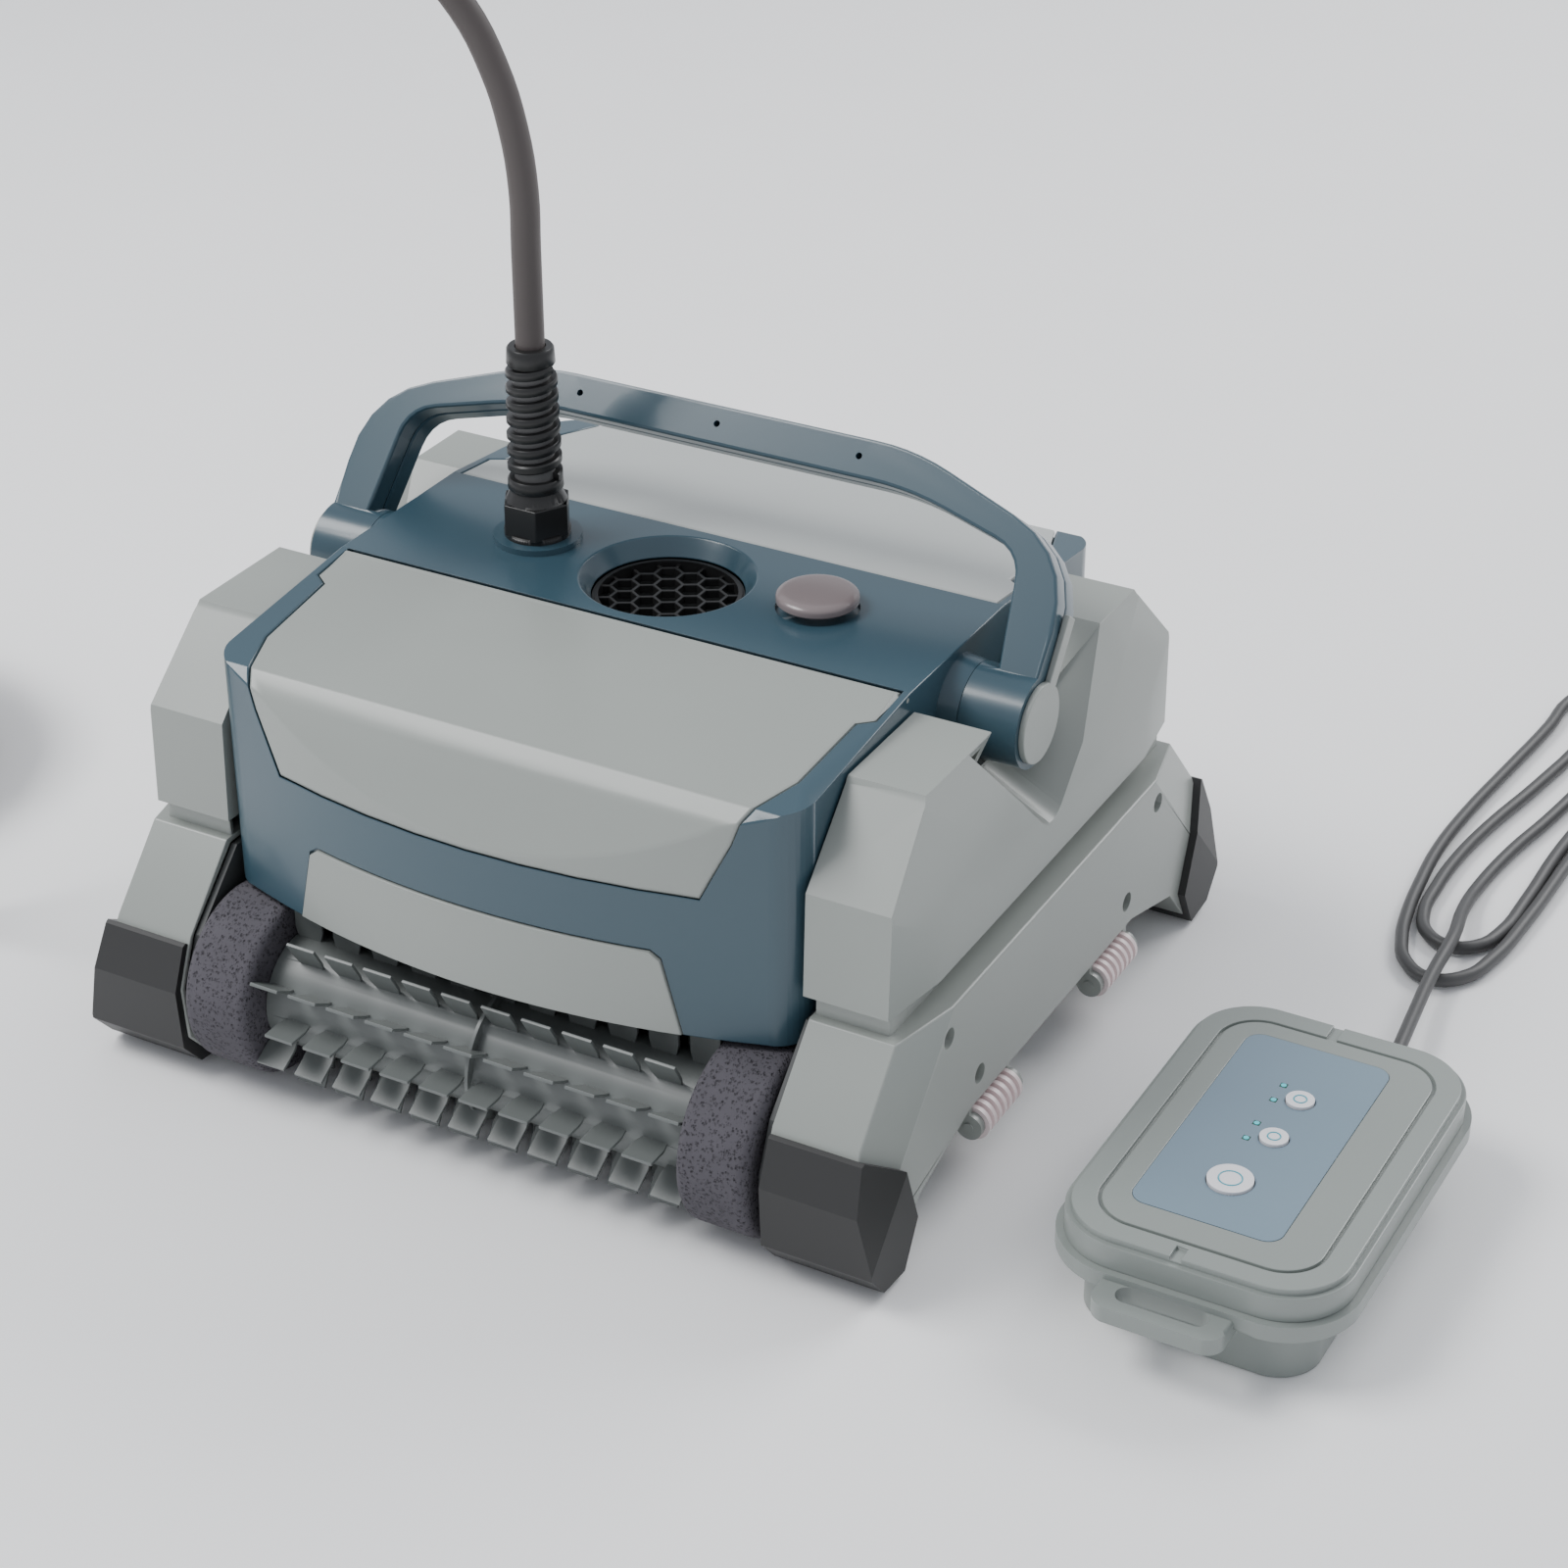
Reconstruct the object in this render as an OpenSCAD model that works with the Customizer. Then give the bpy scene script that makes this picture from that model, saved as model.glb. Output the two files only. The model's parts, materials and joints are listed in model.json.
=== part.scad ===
// Robotic pool cleaner with its floating cable and its poolside control box.
// The robot's own frame: X across, -Y to the front (lid side), Z up, floor at z = 0.
// The model's origin is on the floor, in the middle of robot and control box together.

/* [Robot body] */
// Width over the side skirts
body_w = 414; // [380:1:500]
// Depth over the middle of the bowed front and back
body_d = 355; // [340:1:430]
// Height of the deck above the floor
deck_z = 221; // [205:1:270]
// Depth of the flat deck between lid and rear cover
deck_d = 97; // [92:1:130]
// Width of the blue centre body
core_w = 304; // [280:1:340]
// Radius of the bow of the front and back faces
bow_r = 425; // [380:5:700]
// Radius of the centre body's upright corners
core_corner_r = 20; // [12:1:28]
// Wall of the moulded shells
shell_wall = 3; // [2.5:0.1:4]
// Lower edge of the blue centre body
shell_low_z = 93; // [91:1:99]

/* [Brushes] */
// Radius of brush and foam rings
brush_r = 45; // [38:0.5:45]
// Distance of each brush axis from the middle of the robot
brush_y = 154; // [154:0.5:158]
// Width of one foam ring
foam_w = 36; // [28:1:60]
// Radius of the brush's core tube
core_r = 24; // [20:0.5:26]
// Number of rows of fins round the brush
fin_rows = 12; // [8:1:14]
// Radius of the brush's end journal
journal_r = 6; // [5:0.5:8]

/* [Handle] */
// Height of the handle's pivot above the floor
hub_z = 193; // [188:1:196]
// Radius of the handle's hub drum
hub_r = 22; // [18:0.5:23]
// Distance from the pivot to the outer edge of the top bar
handle_reach = 107; // [102:1:125]
// Lean of the handle at rest, from upright
handle_lean = 36; // [30:1:40]
// Thickness of one handle half
handle_half_t = 12.5; // [9:0.5:13]

/* [Deck fittings] */
// Radius of the cone round the water outlet
outlet_cone_r = 42; // [38:0.5:44]
// Radius of the outlet grille
outlet_r = 35; // [30:0.5:36]
// Width across the flats of the cable gland nut
gland_af = 30; // [28:0.5:36]
// Radius of the top button
button_r = 19.5; // [16:0.5:24]
// Travel of the top button
button_travel = 3; // [2:0.5:4]

/* [Cords] */
// Diameter of the floating cable
cable_d = 14; // [12:0.5:16]
// Diameter of the control box lead
lead_d = 7; // [6:0.5:8]

/* [Guide rollers] */
// Radius of a side guide roller
roller_r = 8.5; // [7:0.5:9]
// Length of a side guide roller
roller_len = 35; // [28:1:42]

/* [Control box] */
// Width of the control box cover
box_w = 130; // [118:1:150]
// Length of the control box cover
box_d = 199; // [188:1:215]
// Height of the control box
box_h = 52; // [50:1:70]
// Corner radius of the control box cover
box_corner_r = 32; // [24:1:36]
// Gap between robot and control box
box_gap = 62.5; // [50:0.5:120]

/* [Hidden] */
$fn = 48;

// Clearances
gap = 0.3;              // between pieces that move past each other
fit = 0.05;             // radial running fit of a shaft in its bore
seam = 0.6;             // visible seam round a cover
eps = 0.01;

// Robot body, worked out
half_w = body_w / 2;
face_y = body_d / 2;                    // middle of the bowed front face
deck_y = deck_d / 2;                    // front edge of the deck
core_x = core_w / 2;
crease_y = face_y - 26;                 // where the lid turns down
crease_z = deck_z - 11;
brow_z = deck_z - 56;                   // lower edge of the lid
nose_z = deck_z - 86;                   // upper edge of the nose panel
cover_z = 121;                          // lower edge of the side covers
cover_top = deck_z - 10;
cover_x = half_w - 7;                   // outer plane of the side covers
cover_in = core_x + 1;
cover_y = face_y - 28;                  // front plane of the side covers
skirt_top = cover_z - 11;
skirt_in = half_w - 51.5;               // inner edge of the skirts
frame_t = 3;                            // side frame plate
nose_y = brush_y + 38;                  // front of the skirt's nose
bumper_t = 4;
tray_z = 24;                            // underside of the bottom plate
tray_t = 4;
tray_y = brush_y - brush_r - 5;         // front wall of the bottom plate
axle_z = brush_r;                       // brushes stand on the floor

// Drive train: the front motor drives on the right, the rear motor on the left
pulley_gap = 2.5;
pulley_w = 8;
motor_y = brush_y - 106;
motor_z = axle_z + 22;
motor_r = 19;
motor_len = 78;
motor_shaft_r = 3;
shaft_in = 16;                          // length of shaft inside the motor
brush_pulley_r = 12.6;
motor_pulley_r = brush_pulley_r / 1.8;
belt_t = 2;
pulley_x = skirt_in + frame_t + pulley_gap;
brush_half = skirt_in - 4.5;            // outer face of the foam rings

// Pump: outlet cone, grille, duct, impeller and motor on one upright axis
cone_depth = 9;
grille_t = 6;
grille_z = deck_z - cone_depth - grille_t;
duct_wall = 2.5;
impeller_z = deck_z - 55;
impeller_r = outlet_r - duct_wall - 1.5;
pump_r = 30;
pump_top = impeller_z - 14;

// Handle
hub_in = core_x + 10;
hub_out = half_w - 16;
hub_pin_r = 8;
arm_in = half_w - 35;
handle_w = 0.895 * handle_reach;

// Deck fittings
gland_x = -75;
deck_line_y = 5;
button_x = 77;
gland_r = gland_af / sqrt(3);           // over the nut's corners
gland_top = deck_z + 27;
relief_top = deck_z + 99;

// Guide rollers
roller_x = half_w - 2;
roller_y = 66;
roller_z = 30;
roller_pin_r = 2.5;
roller_lift = 12.5;                      // from the roller's axis up to the skirt's edge

// Control box, in its own frame: centre of its footprint, floor at z = 0
flange_z = box_h - 23;
flange_t = 8;
flange_out = 3.5;
box_wall = 2.5;
label_w = box_w - 61;
label_d = box_d - 55.5;
label_x = -4.4;
label_y = 2.8;
label_t = 0.8;
key_travel = 1.2;
box_x = half_w + box_gap + box_w / 2 + flange_out;
box_y = -59.5;
lead_exit_x = 13.5;
lead_exit_z = 17;
board_z = box_h - 16;

// Places of robot and control box about the common origin
x_low = -(roller_x + roller_r);
x_high = box_x + box_w / 2 + flange_out;
robot_x = -(x_low + x_high) / 2;
module at_robot() { translate([robot_x, 0, 0]) children(); }
module at_box() { translate([robot_x + box_x, box_y, 0]) children(); }

// Route of the floating cable, in the robot's frame, from the strain relief to the coil
CABLE_ROUTE = [[-75, 5, 312], [-75, 5, 340], [-75, 5, 368], [-75, 5, 395], [-78, 3, 425], [-85, 0, 453],
  [-96, -6, 480], [-112, -15, 503], [-131, -26, 523], [-154, -38, 538], [-180, -52, 547],
  [-209, -68, 550], [-238, -84, 547], [-264, -98, 538], [-288, -111, 523], [-307, -122, 503],
  [-322, -130, 480], [-332, -135, 453], [-338, -139, 425], [-341, -141, 395], [-342, -142, 360],
  [-342, -142, 325], [-342, -142, 290], [-342, -142, 255], [-342, -142, 220], [-342, -142, 185],
  [-342, -142, 150], [-342, -142, 115], [-344, -143, 83], [-352, -147, 53], [-366, -155, 29],
  [-388, -166, 14], [-412, -175, 8], [-438, -181, 7], [-466, -185, 7], [-505, -187, 7], [-543, -187, 7]];
// Round coil of the rest of the floating cable
coil_x = -543;
coil_y = -68;
coil_r = 119;                           // centreline of the outer turns
coil_rows = 5;
coil_cols = 4;

// Route of the control box lead, in the robot's frame, from its gland to the plug
LEAD_ROUTE = [[352, 36, 17], [352, 55, 17], [349, 84, 17], [345, 115, 15], [340, 158, 13], [338, 196, 13],
  [332, 230, 8], [330, 262, 4], [334, 305, 4], [341, 345, 4], [348, 400, 4], [352, 450, 4], [351, 478, 4],
  [344, 496, 4], [331, 502, 4], [318, 496, 4], [311, 478, 4], [310, 445, 4], [305, 388, 4], [300, 330, 4],
  [299, 287, 4], [302, 250, 4], [306, 220, 4], [312, 195, 4], [321, 176, 4], [336, 167, 4], [350, 175, 4],
  [358, 198, 4], [362, 240, 4], [364, 310, 4], [368, 380, 4], [373, 440, 4], [374, 468, 8], [368, 490, 12],
  [353, 500, 13], [338, 493, 12], [332, 470, 8], [332, 440, 4], [325, 380, 4], [315, 322, 4], [311, 283, 4],
  [311, 250, 4], [314, 222, 4], [322, 206, 4], [335, 200, 4], [347, 206, 4], [354, 224, 4], [356, 258, 4],
  [356, 310, 4], [358, 350, 4], [361, 376, 8], [370, 400, 12], [382, 420, 11], [390, 440, 9]];

// Colours
BLUE = [0.25, 0.36, 0.42];
GREY = [0.60, 0.63, 0.62];
LIGHT = [0.69, 0.71, 0.70];
DARK = [0.20, 0.20, 0.20];
FOAM = [0.29, 0.29, 0.31];
FIN = [0.43, 0.45, 0.44];
STEEL = [0.75, 0.76, 0.78];

// ---------- helpers ----------

// A YZ outline run across the robot between two X positions
module across(points, x0, x1) {
  translate([x0, 0, 0]) rotate([90, 0, 90]) linear_extrude(x1 - x0) polygon(soft(points));
}

// An XY outline run upwards between two heights
module upright(points, z0, z1) {
  translate([0, 0, z0]) linear_extrude(z1 - z0) polygon(soft(points));
}

// A rod along X
module rod_x(r, x0, x1) {
  translate([x0, 0, 0]) rotate([0, 90, 0]) cylinder(r = r, h = x1 - x0);
}

// An outline of [x, y, r] corners: each is eased into a curve over its r, or stays sharp without one
function flat(p) = [p[0], p[1]];
function eased(a, b, c, r) = [for (t = [0:0.2:1])
  (1 - t) * (1 - t) * (b + r * unit(a - b)) + 2 * t * (1 - t) * b + t * t * (b + r * unit(c - b))];
function soft(p) = [for (i = [0:len(p) - 1])
  let(a = p[(i + len(p) - 1) % len(p)], c = p[(i + 1) % len(p)])
  each p[i][2] == undef ? [flat(p[i])] : eased(flat(a), flat(p[i]), flat(c), p[i][2])];

// A rounded slab made of exact corner cylinders and two boxes
module slab(w, d, h, r) {
  translate([-w / 2 + r, -d / 2, 0]) cube([w - 2 * r, d, h]);
  translate([-w / 2, -d / 2 + r, 0]) cube([w, d - 2 * r, h]);
  for (sx = [-1, 1], sy = [-1, 1])
    translate([sx * (w / 2 - r), sy * (d / 2 - r), 0]) cylinder(r = r, h = h);
}

// Children on both sides of the robot
module both_sides() {
  children();
  mirror([1, 0, 0]) children();
}

// Children at front and back
module both_ends() {
  children();
  mirror([0, 1, 0]) children();
}

// All that lies beyond a plane that leans in by lean and turns by yaw
module beyond(lean, yaw, reach) {
  rotate([0, -lean, yaw]) translate([reach, -400, -400]) cube([200, 800, 800]);
}

function mirrored(points) =
  concat(points, [for (i = [len(points) - 1:-1:0]) [-points[i][0], points[i][1], points[i][2]]]);

// A tube with flat ends along a list of points
function unit(v) = v / norm(v);
function direction(p, i) =
  i == 0 ? unit(p[1] - p[0]) :
  i == len(p) - 1 ? unit(p[i] - p[i - 1]) :
  unit(unit(p[i] - p[i - 1]) + unit(p[i + 1] - p[i]));
function side_of(d) = unit(cross(d, abs(d[0]) > 0.9 ? [0, 1, 0] : [1, 0, 0]));
function carried(s, d) = unit(s - d * (s * d));
function sides(p, i = 0, s = [1, 0, 0]) =
  i == len(p) ? [] :
  let(t = i == 0 ? side_of(direction(p, 0)) : carried(s, direction(p, i)))
  concat([t], sides(p, i + 1, t));
module tube(p, r, n) {
  s = sides(p);
  points = [for (i = [0:len(p) - 1], k = [0:n - 1])
    let(d = direction(p, i), b = cross(d, s[i]), a = 360 * k / n)
    p[i] + r * (cos(a) * s[i] + sin(a) * b)];
  last = (len(p) - 1) * n;
  faces = concat(
    [[for (k = [n - 1:-1:0]) k]],
    [for (i = [0:len(p) - 2], k = [0:n - 1])
      let(j = (k + 1) % n) [i * n + k, i * n + j, (i + 1) * n + j, (i + 1) * n + k]],
    [[for (k = [0:n - 1]) last + k]]);
  polyhedron(points, [for (f = faces) [for (k = [len(f) - 1:-1:0]) f[k]]]);
}

// ---------- centre body ----------

// Plan of the centre body, bowed at front and back and with round corners, drawn in by t
corner_x = core_x - core_corner_r;
corner_y = sqrt(pow(bow_r - core_corner_r, 2) - corner_x * corner_x) - bow_r + face_y;
module bowed_plan(t) {
  tangent_x = corner_x * (bow_r - t) / (bow_r - core_corner_r);
  intersection() {
    translate([0, bow_r - face_y]) circle(bow_r - t, $fn = 360);
    translate([0, face_y - bow_r]) circle(bow_r - t, $fn = 360);
    union() {
      square([2 * tangent_x, 2 * face_y + 10], center = true);
      square([core_w - 2 * t, 2 * corner_y], center = true);
      for (sx = [-1, 1], sy = [-1, 1]) translate([sx * corner_x, sy * corner_y]) circle(core_corner_r - t);
    }
  }
}

// Side outline of the centre body, drawn in by t
function body_outline(t) = mirrored([
  [deck_y, deck_z - t], [crease_y - 0.6 * t, crease_z - t], [crease_y + 9 - 0.8 * t, crease_z - 8 - 0.7 * t],
  [face_y + 0.4 - t, brow_z + 3], [face_y + 2 - t, brow_z], [face_y + 2 - t, shell_low_z - 1]]);

// Solid of the centre body down to a height
module body_block(t, low) {
  intersection() {
    translate([0, 0, low]) linear_extrude(deck_z) bowed_plan(t);
    across(body_outline(t), -core_x, core_x);
  }
}

// Outline of the lid, drawn on a plane that leans 45 degrees and cut through along its normal:
// s runs down the lid from the deck's edge
function lean_s(y, z) = (y - z) / sqrt(2);
s_deck = lean_s(deck_y, deck_z);
s_brow = lean_s(face_y, brow_z);
brow_half = 110;
lid_half = core_x - 4;
function lid_outline(t) = concat(
  [[lid_half - t, s_deck + t], [lid_half - t, s_deck + 20], [lid_half - 7 - t, s_deck + 24],
   [lid_half - 9 - t, s_deck + 62], [lid_half - 24 - t, s_deck + 97]],
  [for (i = [-4:4]) let(x = -i * (brow_half - t) / 4) [x, s_brow - t - x * x / bow_r / sqrt(8)]],
  [[-(lid_half - 24 - t), s_deck + 97], [-(lid_half - 9 - t), s_deck + 62], [-(lid_half - 7 - t), s_deck + 24],
   [-(lid_half - t), s_deck + 20], [-(lid_half - t), s_deck + t]]);
module lid_prism(t) {
  rotate([45, 0, 0]) linear_extrude(400) polygon([for (p = lid_outline(t)) [p[0], -p[1]]]);
}

// A cover plate over the front bay: the outer skin inside the lid's outline
module cover_plate() {
  intersection() {
    difference() {
      body_block(0, shell_low_z);
      body_block(shell_wall - gap, shell_low_z - 5);
    }
    lid_prism(seam);
  }
}

// Hinge line of the lid: its rounded rear edge turns beside the deck's edge
hinge_r = 2.4;
hinge_pin_r = 1.2;
hinge_y = -deck_y - hinge_r - 0.4;
hinge_z = deck_z - hinge_r;

function nose_outline(t) = mirrored([[88 - t, nose_z - t], [93 - t, nose_z - 4 - t], [102 - t, shell_low_z + t - eps]]);
module nose_prism(t) {
  translate([0, -50, 0]) rotate([90, 0, 0]) linear_extrude(200) polygon(soft(nose_outline(t)));
}
module nose_panel() {
  color(GREY) intersection() {
    difference() {
      translate([0, 0, shell_low_z]) linear_extrude(nose_z) bowed_plan(-1);
      translate([0, 0, shell_low_z - 1]) linear_extrude(nose_z) bowed_plan(shell_wall / 2);
    }
    nose_prism(seam);
  }
}

module top_shell() {
  color(BLUE) difference() {
    union() {
      difference() {
        body_block(0, shell_low_z);
        body_block(shell_wall, shell_low_z - 5);
        both_ends() lid_prism(0);
      }
      // ledges that the lid and the rear cover rest on
      both_ends() difference() {
        intersection() { body_block(shell_wall, shell_low_z); lid_prism(-8); }
        body_block(2 * shell_wall, shell_low_z - 5);
        lid_prism(10);
      }
      // necks that carry the handle's hub pins
      both_sides() translate([0, 0, hub_z]) {
        translate([core_x - 6, 0, 0]) rotate([0, 90, 0])
          cylinder(r1 = hub_r + 3, r2 = hub_r, h = 6 + hub_in - gap - core_x);
        rod_x(hub_pin_r + 4, core_x - 30, core_x);
      }
      // ring under the cable gland and guide of the button
      translate([gland_x, deck_line_y, deck_z - eps]) cylinder(r = gland_r + 4, h = 3);
      translate([button_x, deck_line_y, deck_z - 16]) cylinder(r = 10, h = 14);
      // ring wall round the outlet cone
      translate([0, 0, deck_z - cone_depth]) cylinder(r = outlet_cone_r + 2, h = cone_depth - 1);
    }
    // bores of the handle's hub pins
    translate([0, 0, hub_z]) both_sides() rod_x(hub_pin_r, core_x - 31, half_w);
    // outlet cone
    translate([0, 0, deck_z - cone_depth]) cylinder(r1 = outlet_r + 1, r2 = outlet_cone_r, h = cone_depth + eps);
    translate([0, 0, deck_z - cone_depth - 1]) cylinder(r = outlet_r + 1, h = 2);
    // bore for the cable
    translate([gland_x, deck_line_y, deck_z - 12]) cylinder(r = cable_d / 2 + 2, h = 20);
    // seat and bore of the top button
    translate([button_x, deck_line_y, deck_z - 2]) cylinder(r = button_r + gap, h = 5);
    translate([button_x, deck_line_y, deck_z - 20]) cylinder(r = 5 + fit, h = 30);
    // trough and pin bores of the lid's hinge
    translate([0, hinge_y, hinge_z]) {
      rod_x(hinge_r + gap, -lid_half, lid_half);
      rod_x(hinge_pin_r + fit, -lid_half - 5, lid_half + 5);
    }
    // shallow recess behind each nose panel
    both_ends() difference() {
      nose_prism(0);
      translate([0, 0, shell_low_z - 1]) linear_extrude(nose_z) bowed_plan(shell_wall / 2 + 0.1);
    }
  }
}

module filter_lid() {
  color(GREY) {
    difference() {
      cover_plate();
      translate([-core_x, hinge_y, 0]) cube([core_w, 200, 2 * deck_z]);
    }
    // stiffening ribs under the lid
    for (x = [-60, 0, 60]) intersection() {
      translate([x - 1.5, -crease_y + 6, crease_z - 30]) cube([3, crease_y - deck_y - 30, 32]);
      difference() {
        body_block(shell_wall - gap - 0.2, crease_z - 30);
        body_block(2 * shell_wall + 2, crease_z - 40);
      }
    }
    translate([0, hinge_y, hinge_z]) {
      rod_x(hinge_r, seam - lid_half, lid_half - seam);
      rod_x(hinge_pin_r, -lid_half - 4, lid_half + 4);
    }
  }
}

module rear_cover() { color(LIGHT) mirror([0, 1, 0]) cover_plate(); }

// ---------- side covers ----------

// Recess that the hub and the arm swing in, drawn out by t: a trough round the hub,
// and a V with flat flanks that falls away outwards
vee_z = deck_z - 78;                    // bottom of the V at the outer plane
module hub_saddle(t) {
  across([[-53 - t, deck_z], [-hub_r - 4 - t, hub_z - 14 - t], [0, hub_z - 26 - t], [hub_r + 4 + t, hub_z - 14 - t],
    [84 + t, deck_z]], cover_in - 5, cover_x + 5);
  translate([0, 0, hub_z]) rod_x(hub_r + 4 + t, cover_in - 5, cover_x + 5);
  translate([cover_x, 0, vee_z]) rotate([0, 28, 0])
    across([[-84 - t, 68], [-4 - t, -t, 6], [9 + t, -t, 6], [84 + t, 68]], -40, 40);
}

module side_cover() {
  color(GREY) difference() {
    intersection() {
      across(mirrored([[cover_y - 40, cover_top], [cover_y - 41 + 3, cover_top - 3], [cover_y - 2, cover_z + 51],
        [cover_y, cover_z]]), cover_in, cover_x);
      translate([0, 0, -1]) cube([400, 800, 800], center = true);
    }
    // bevelled outer corners
    both_ends() {
      beyond(12.9, 0, 0.975 * (cover_x - 9) + 0.223 * (cover_top - 3));
      beyond(8.2, -3.7, 225.7 + cover_x - 200);
      beyond(0, -8.3, 0.99 * (cover_x - 5.7) + 0.144 * cover_y);
    }
    hub_saddle(0);
    // hollow inside
    difference() {
      across(mirrored([[cover_y - 43, cover_top - shell_wall], [cover_y - 5, cover_z + 49], [cover_y - 3, cover_z - 1]]),
        cover_in + shell_wall, cover_x - 14);
      hub_saddle(5);
    }
  }
  // ribs at the bottom of the V
  color(GREY) for (y = [-1.5, 5]) translate([cover_x - 30, y, vee_z + 1]) rotate([0, 28, 0]) cube([26, 2.5, 7]);
}
module side_cover_right() { side_cover(); }
module side_cover_left() { mirror([1, 0, 0]) side_cover(); }

// ---------- skirts, side frames and bumpers ----------

// Side outline of the skirt with its noses round the brushes, drawn in by t
function skirt_outline(t) = mirrored([
  [brush_y - 5 - t, skirt_top - t], [nose_y - 10 - t, skirt_top - 36], [nose_y - t, skirt_top - 60],
  [nose_y - 2 - t, 22 + t], [nose_y - 14 - t, 8 + t], [brush_y + 6, 6 + t], [brush_y - 14, 28 + t],
  [roller_y + 24, roller_z + roller_lift + t]]);

module skirt_block(t) {
  difference() {
    across(skirt_outline(t), skirt_in, half_w - t);
    both_ends() {
      beyond(11.6, -12.8, 243.8 + 0.955 * (half_w - 207) - t);
      translate([-0.8 * t, 0.6 * t, -10]) upright([[half_w - 10, -nose_y - 20], [half_w + 20, -nose_y + 20],
        [half_w + 20, -nose_y - 20]], 0, 200);
    }
  }
}

module side_skirt() {
  color(GREY) difference() {
    union() {
      difference() {
        skirt_block(0);
        difference() {
          skirt_block(shell_wall);
          // screw bosses
          for (p = SCREWS, s = [-1, 1]) translate([0, s * p[0], p[1]]) rod_x(6, skirt_in, half_w);
        }
        translate([-eps, 0, 0]) difference() {
          across(skirt_outline(shell_wall), skirt_in, skirt_in + 4);
          for (p = SCREWS, s = [-1, 1]) translate([0, s * p[0], p[1]]) rod_x(6, skirt_in, half_w);
        }
      }
      // neck below the side cover
      difference() {
        across(mirrored([[cover_y - 5, cover_z], [cover_y - 5, skirt_top - shell_wall]]), skirt_in + 1, half_w - 14);
        across(mirrored([[cover_y - 8, cover_z + 1], [cover_y - 8, skirt_top - 9]]), skirt_in, half_w - 17);
      }
    }
    for (p = SCREWS, s = [-1, 1]) translate([0, s * p[0], p[1]]) {
      rod_x(2, skirt_in - 1, half_w);
      rod_x(5, half_w - 9, half_w + 1);
    }
  }
}
SCREWS = [[115, 96], [82, 57]];
module side_skirt_right() { side_skirt(); }
module side_skirt_left() { mirror([1, 0, 0]) side_skirt(); }

module side_frame() {
  difference() {
    across(skirt_outline(shell_wall + 0.5), skirt_in - frame_t, skirt_in - eps);
    for (s = [-1, 1]) {
      translate([0, s * brush_y, axle_z]) rod_x(journal_r + fit, skirt_in - 5, half_w);
      translate([0, s * motor_y, motor_z]) rod_x(motor_shaft_r + 1, skirt_in - 5, half_w);
      for (p = SCREWS) translate([0, s * p[0], p[1]]) rod_x(2, skirt_in - 5, half_w);
    }
  }
}
module side_frames() { color(DARK) both_sides() side_frame(); }

// A cap of even thickness round the nose of a skirt
module bumper() {
  difference() {
    intersection() {
      skirt_block(-bumper_t);
      across([[-nose_y - 30, -5], [-nose_y - 30, skirt_top - 52], [-nose_y + 7, skirt_top - 38],
        [-nose_y + 30, skirt_top - 54], [-nose_y + 42, 24], [-nose_y + 26, -5]], skirt_in + 1, half_w + bumper_t);
    }
    skirt_block(0);
  }
}
module front_bumpers() { color(DARK) both_sides() bumper(); }
module rear_bumpers() { color(DARK) mirror([0, 1, 0]) both_sides() bumper(); }

module side_screws() {
  color(STEEL) both_sides() for (p = SCREWS, s = [-1, 1]) translate([0, s * p[0], p[1]]) {
    rod_x(2, skirt_in - frame_t, half_w - 9);
    difference() {
      rod_x(3.8, half_w - 9, half_w - 6.5);
      translate([half_w - 8, -2.5, -0.5]) cube([3, 5, 1]);
      translate([half_w - 8, -0.5, -2.5]) cube([3, 1, 5]);
    }
  }
}

// ---------- bottom plate ----------

slot_y = 62;
slot_w = 110;
slot_d = 18;
flap_t = 2;
flap_z = tray_z + tray_t + gap + flap_t / 2;
module bottom_plate() {
  x = skirt_in - frame_t - eps;
  wall_t = 3;
  wall_top = 106;
  wall_x = core_x - shell_wall - 1;
  color(FIN) difference() {
    union() {
      translate([-x, -tray_y, tray_z]) cube([2 * x, 2 * tray_y, tray_t]);
      both_ends() {
        translate([-x, -tray_y, tray_z]) cube([2 * x, wall_t, shell_low_z - gap - tray_z]);
        translate([-wall_x, -tray_y, tray_z]) cube([2 * wall_x, wall_t, wall_top - tray_z]);
        // ribs on the wall behind the brush
        for (i = [-5:5]) translate([i * fin_step - 1.5, -tray_y - wall_t, 62]) cube([3, wall_t + 1, wall_top - 62]);
      }
      // ears that hold the flaps' pins
      both_ends() both_sides() translate([slot_w / 2 + 3 + gap, -slot_y + slot_d / 2 + 1, tray_z + tray_t - eps])
        cube([4, 6, 6]);
      // pump pedestal and bearing blocks of the drive motors
      cylinder(r = pump_r + 4, h = pump_top - 72 + tray_z);
      for (a = [0, 180]) rotate([0, 0, a])
        translate([x - motor_len + 10, -motor_y - 8, tray_z]) cube([12, 16, motor_z - motor_r - tray_z + 4]);
    }
    translate([0, 0, tray_z + tray_t]) cylinder(r = pump_r, h = 200);
    translate([0, 0, -1]) cylinder(r = pump_r + 5, h = tray_z + 1);
    for (s = [-1, 1]) translate([-slot_w / 2, s * slot_y - slot_d / 2, 0]) cube([slot_w, slot_d, 60]);
    for (a = [0, 180]) rotate([0, 0, a]) translate([0, -motor_y, motor_z]) rod_x(motor_r, 0, 200);
    both_ends() translate([0, -slot_y + slot_d / 2 + 4, flap_z + 1]) rod_x(1 + fit, -slot_w / 2 - 20, slot_w / 2 + 20);
  }
}

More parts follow.
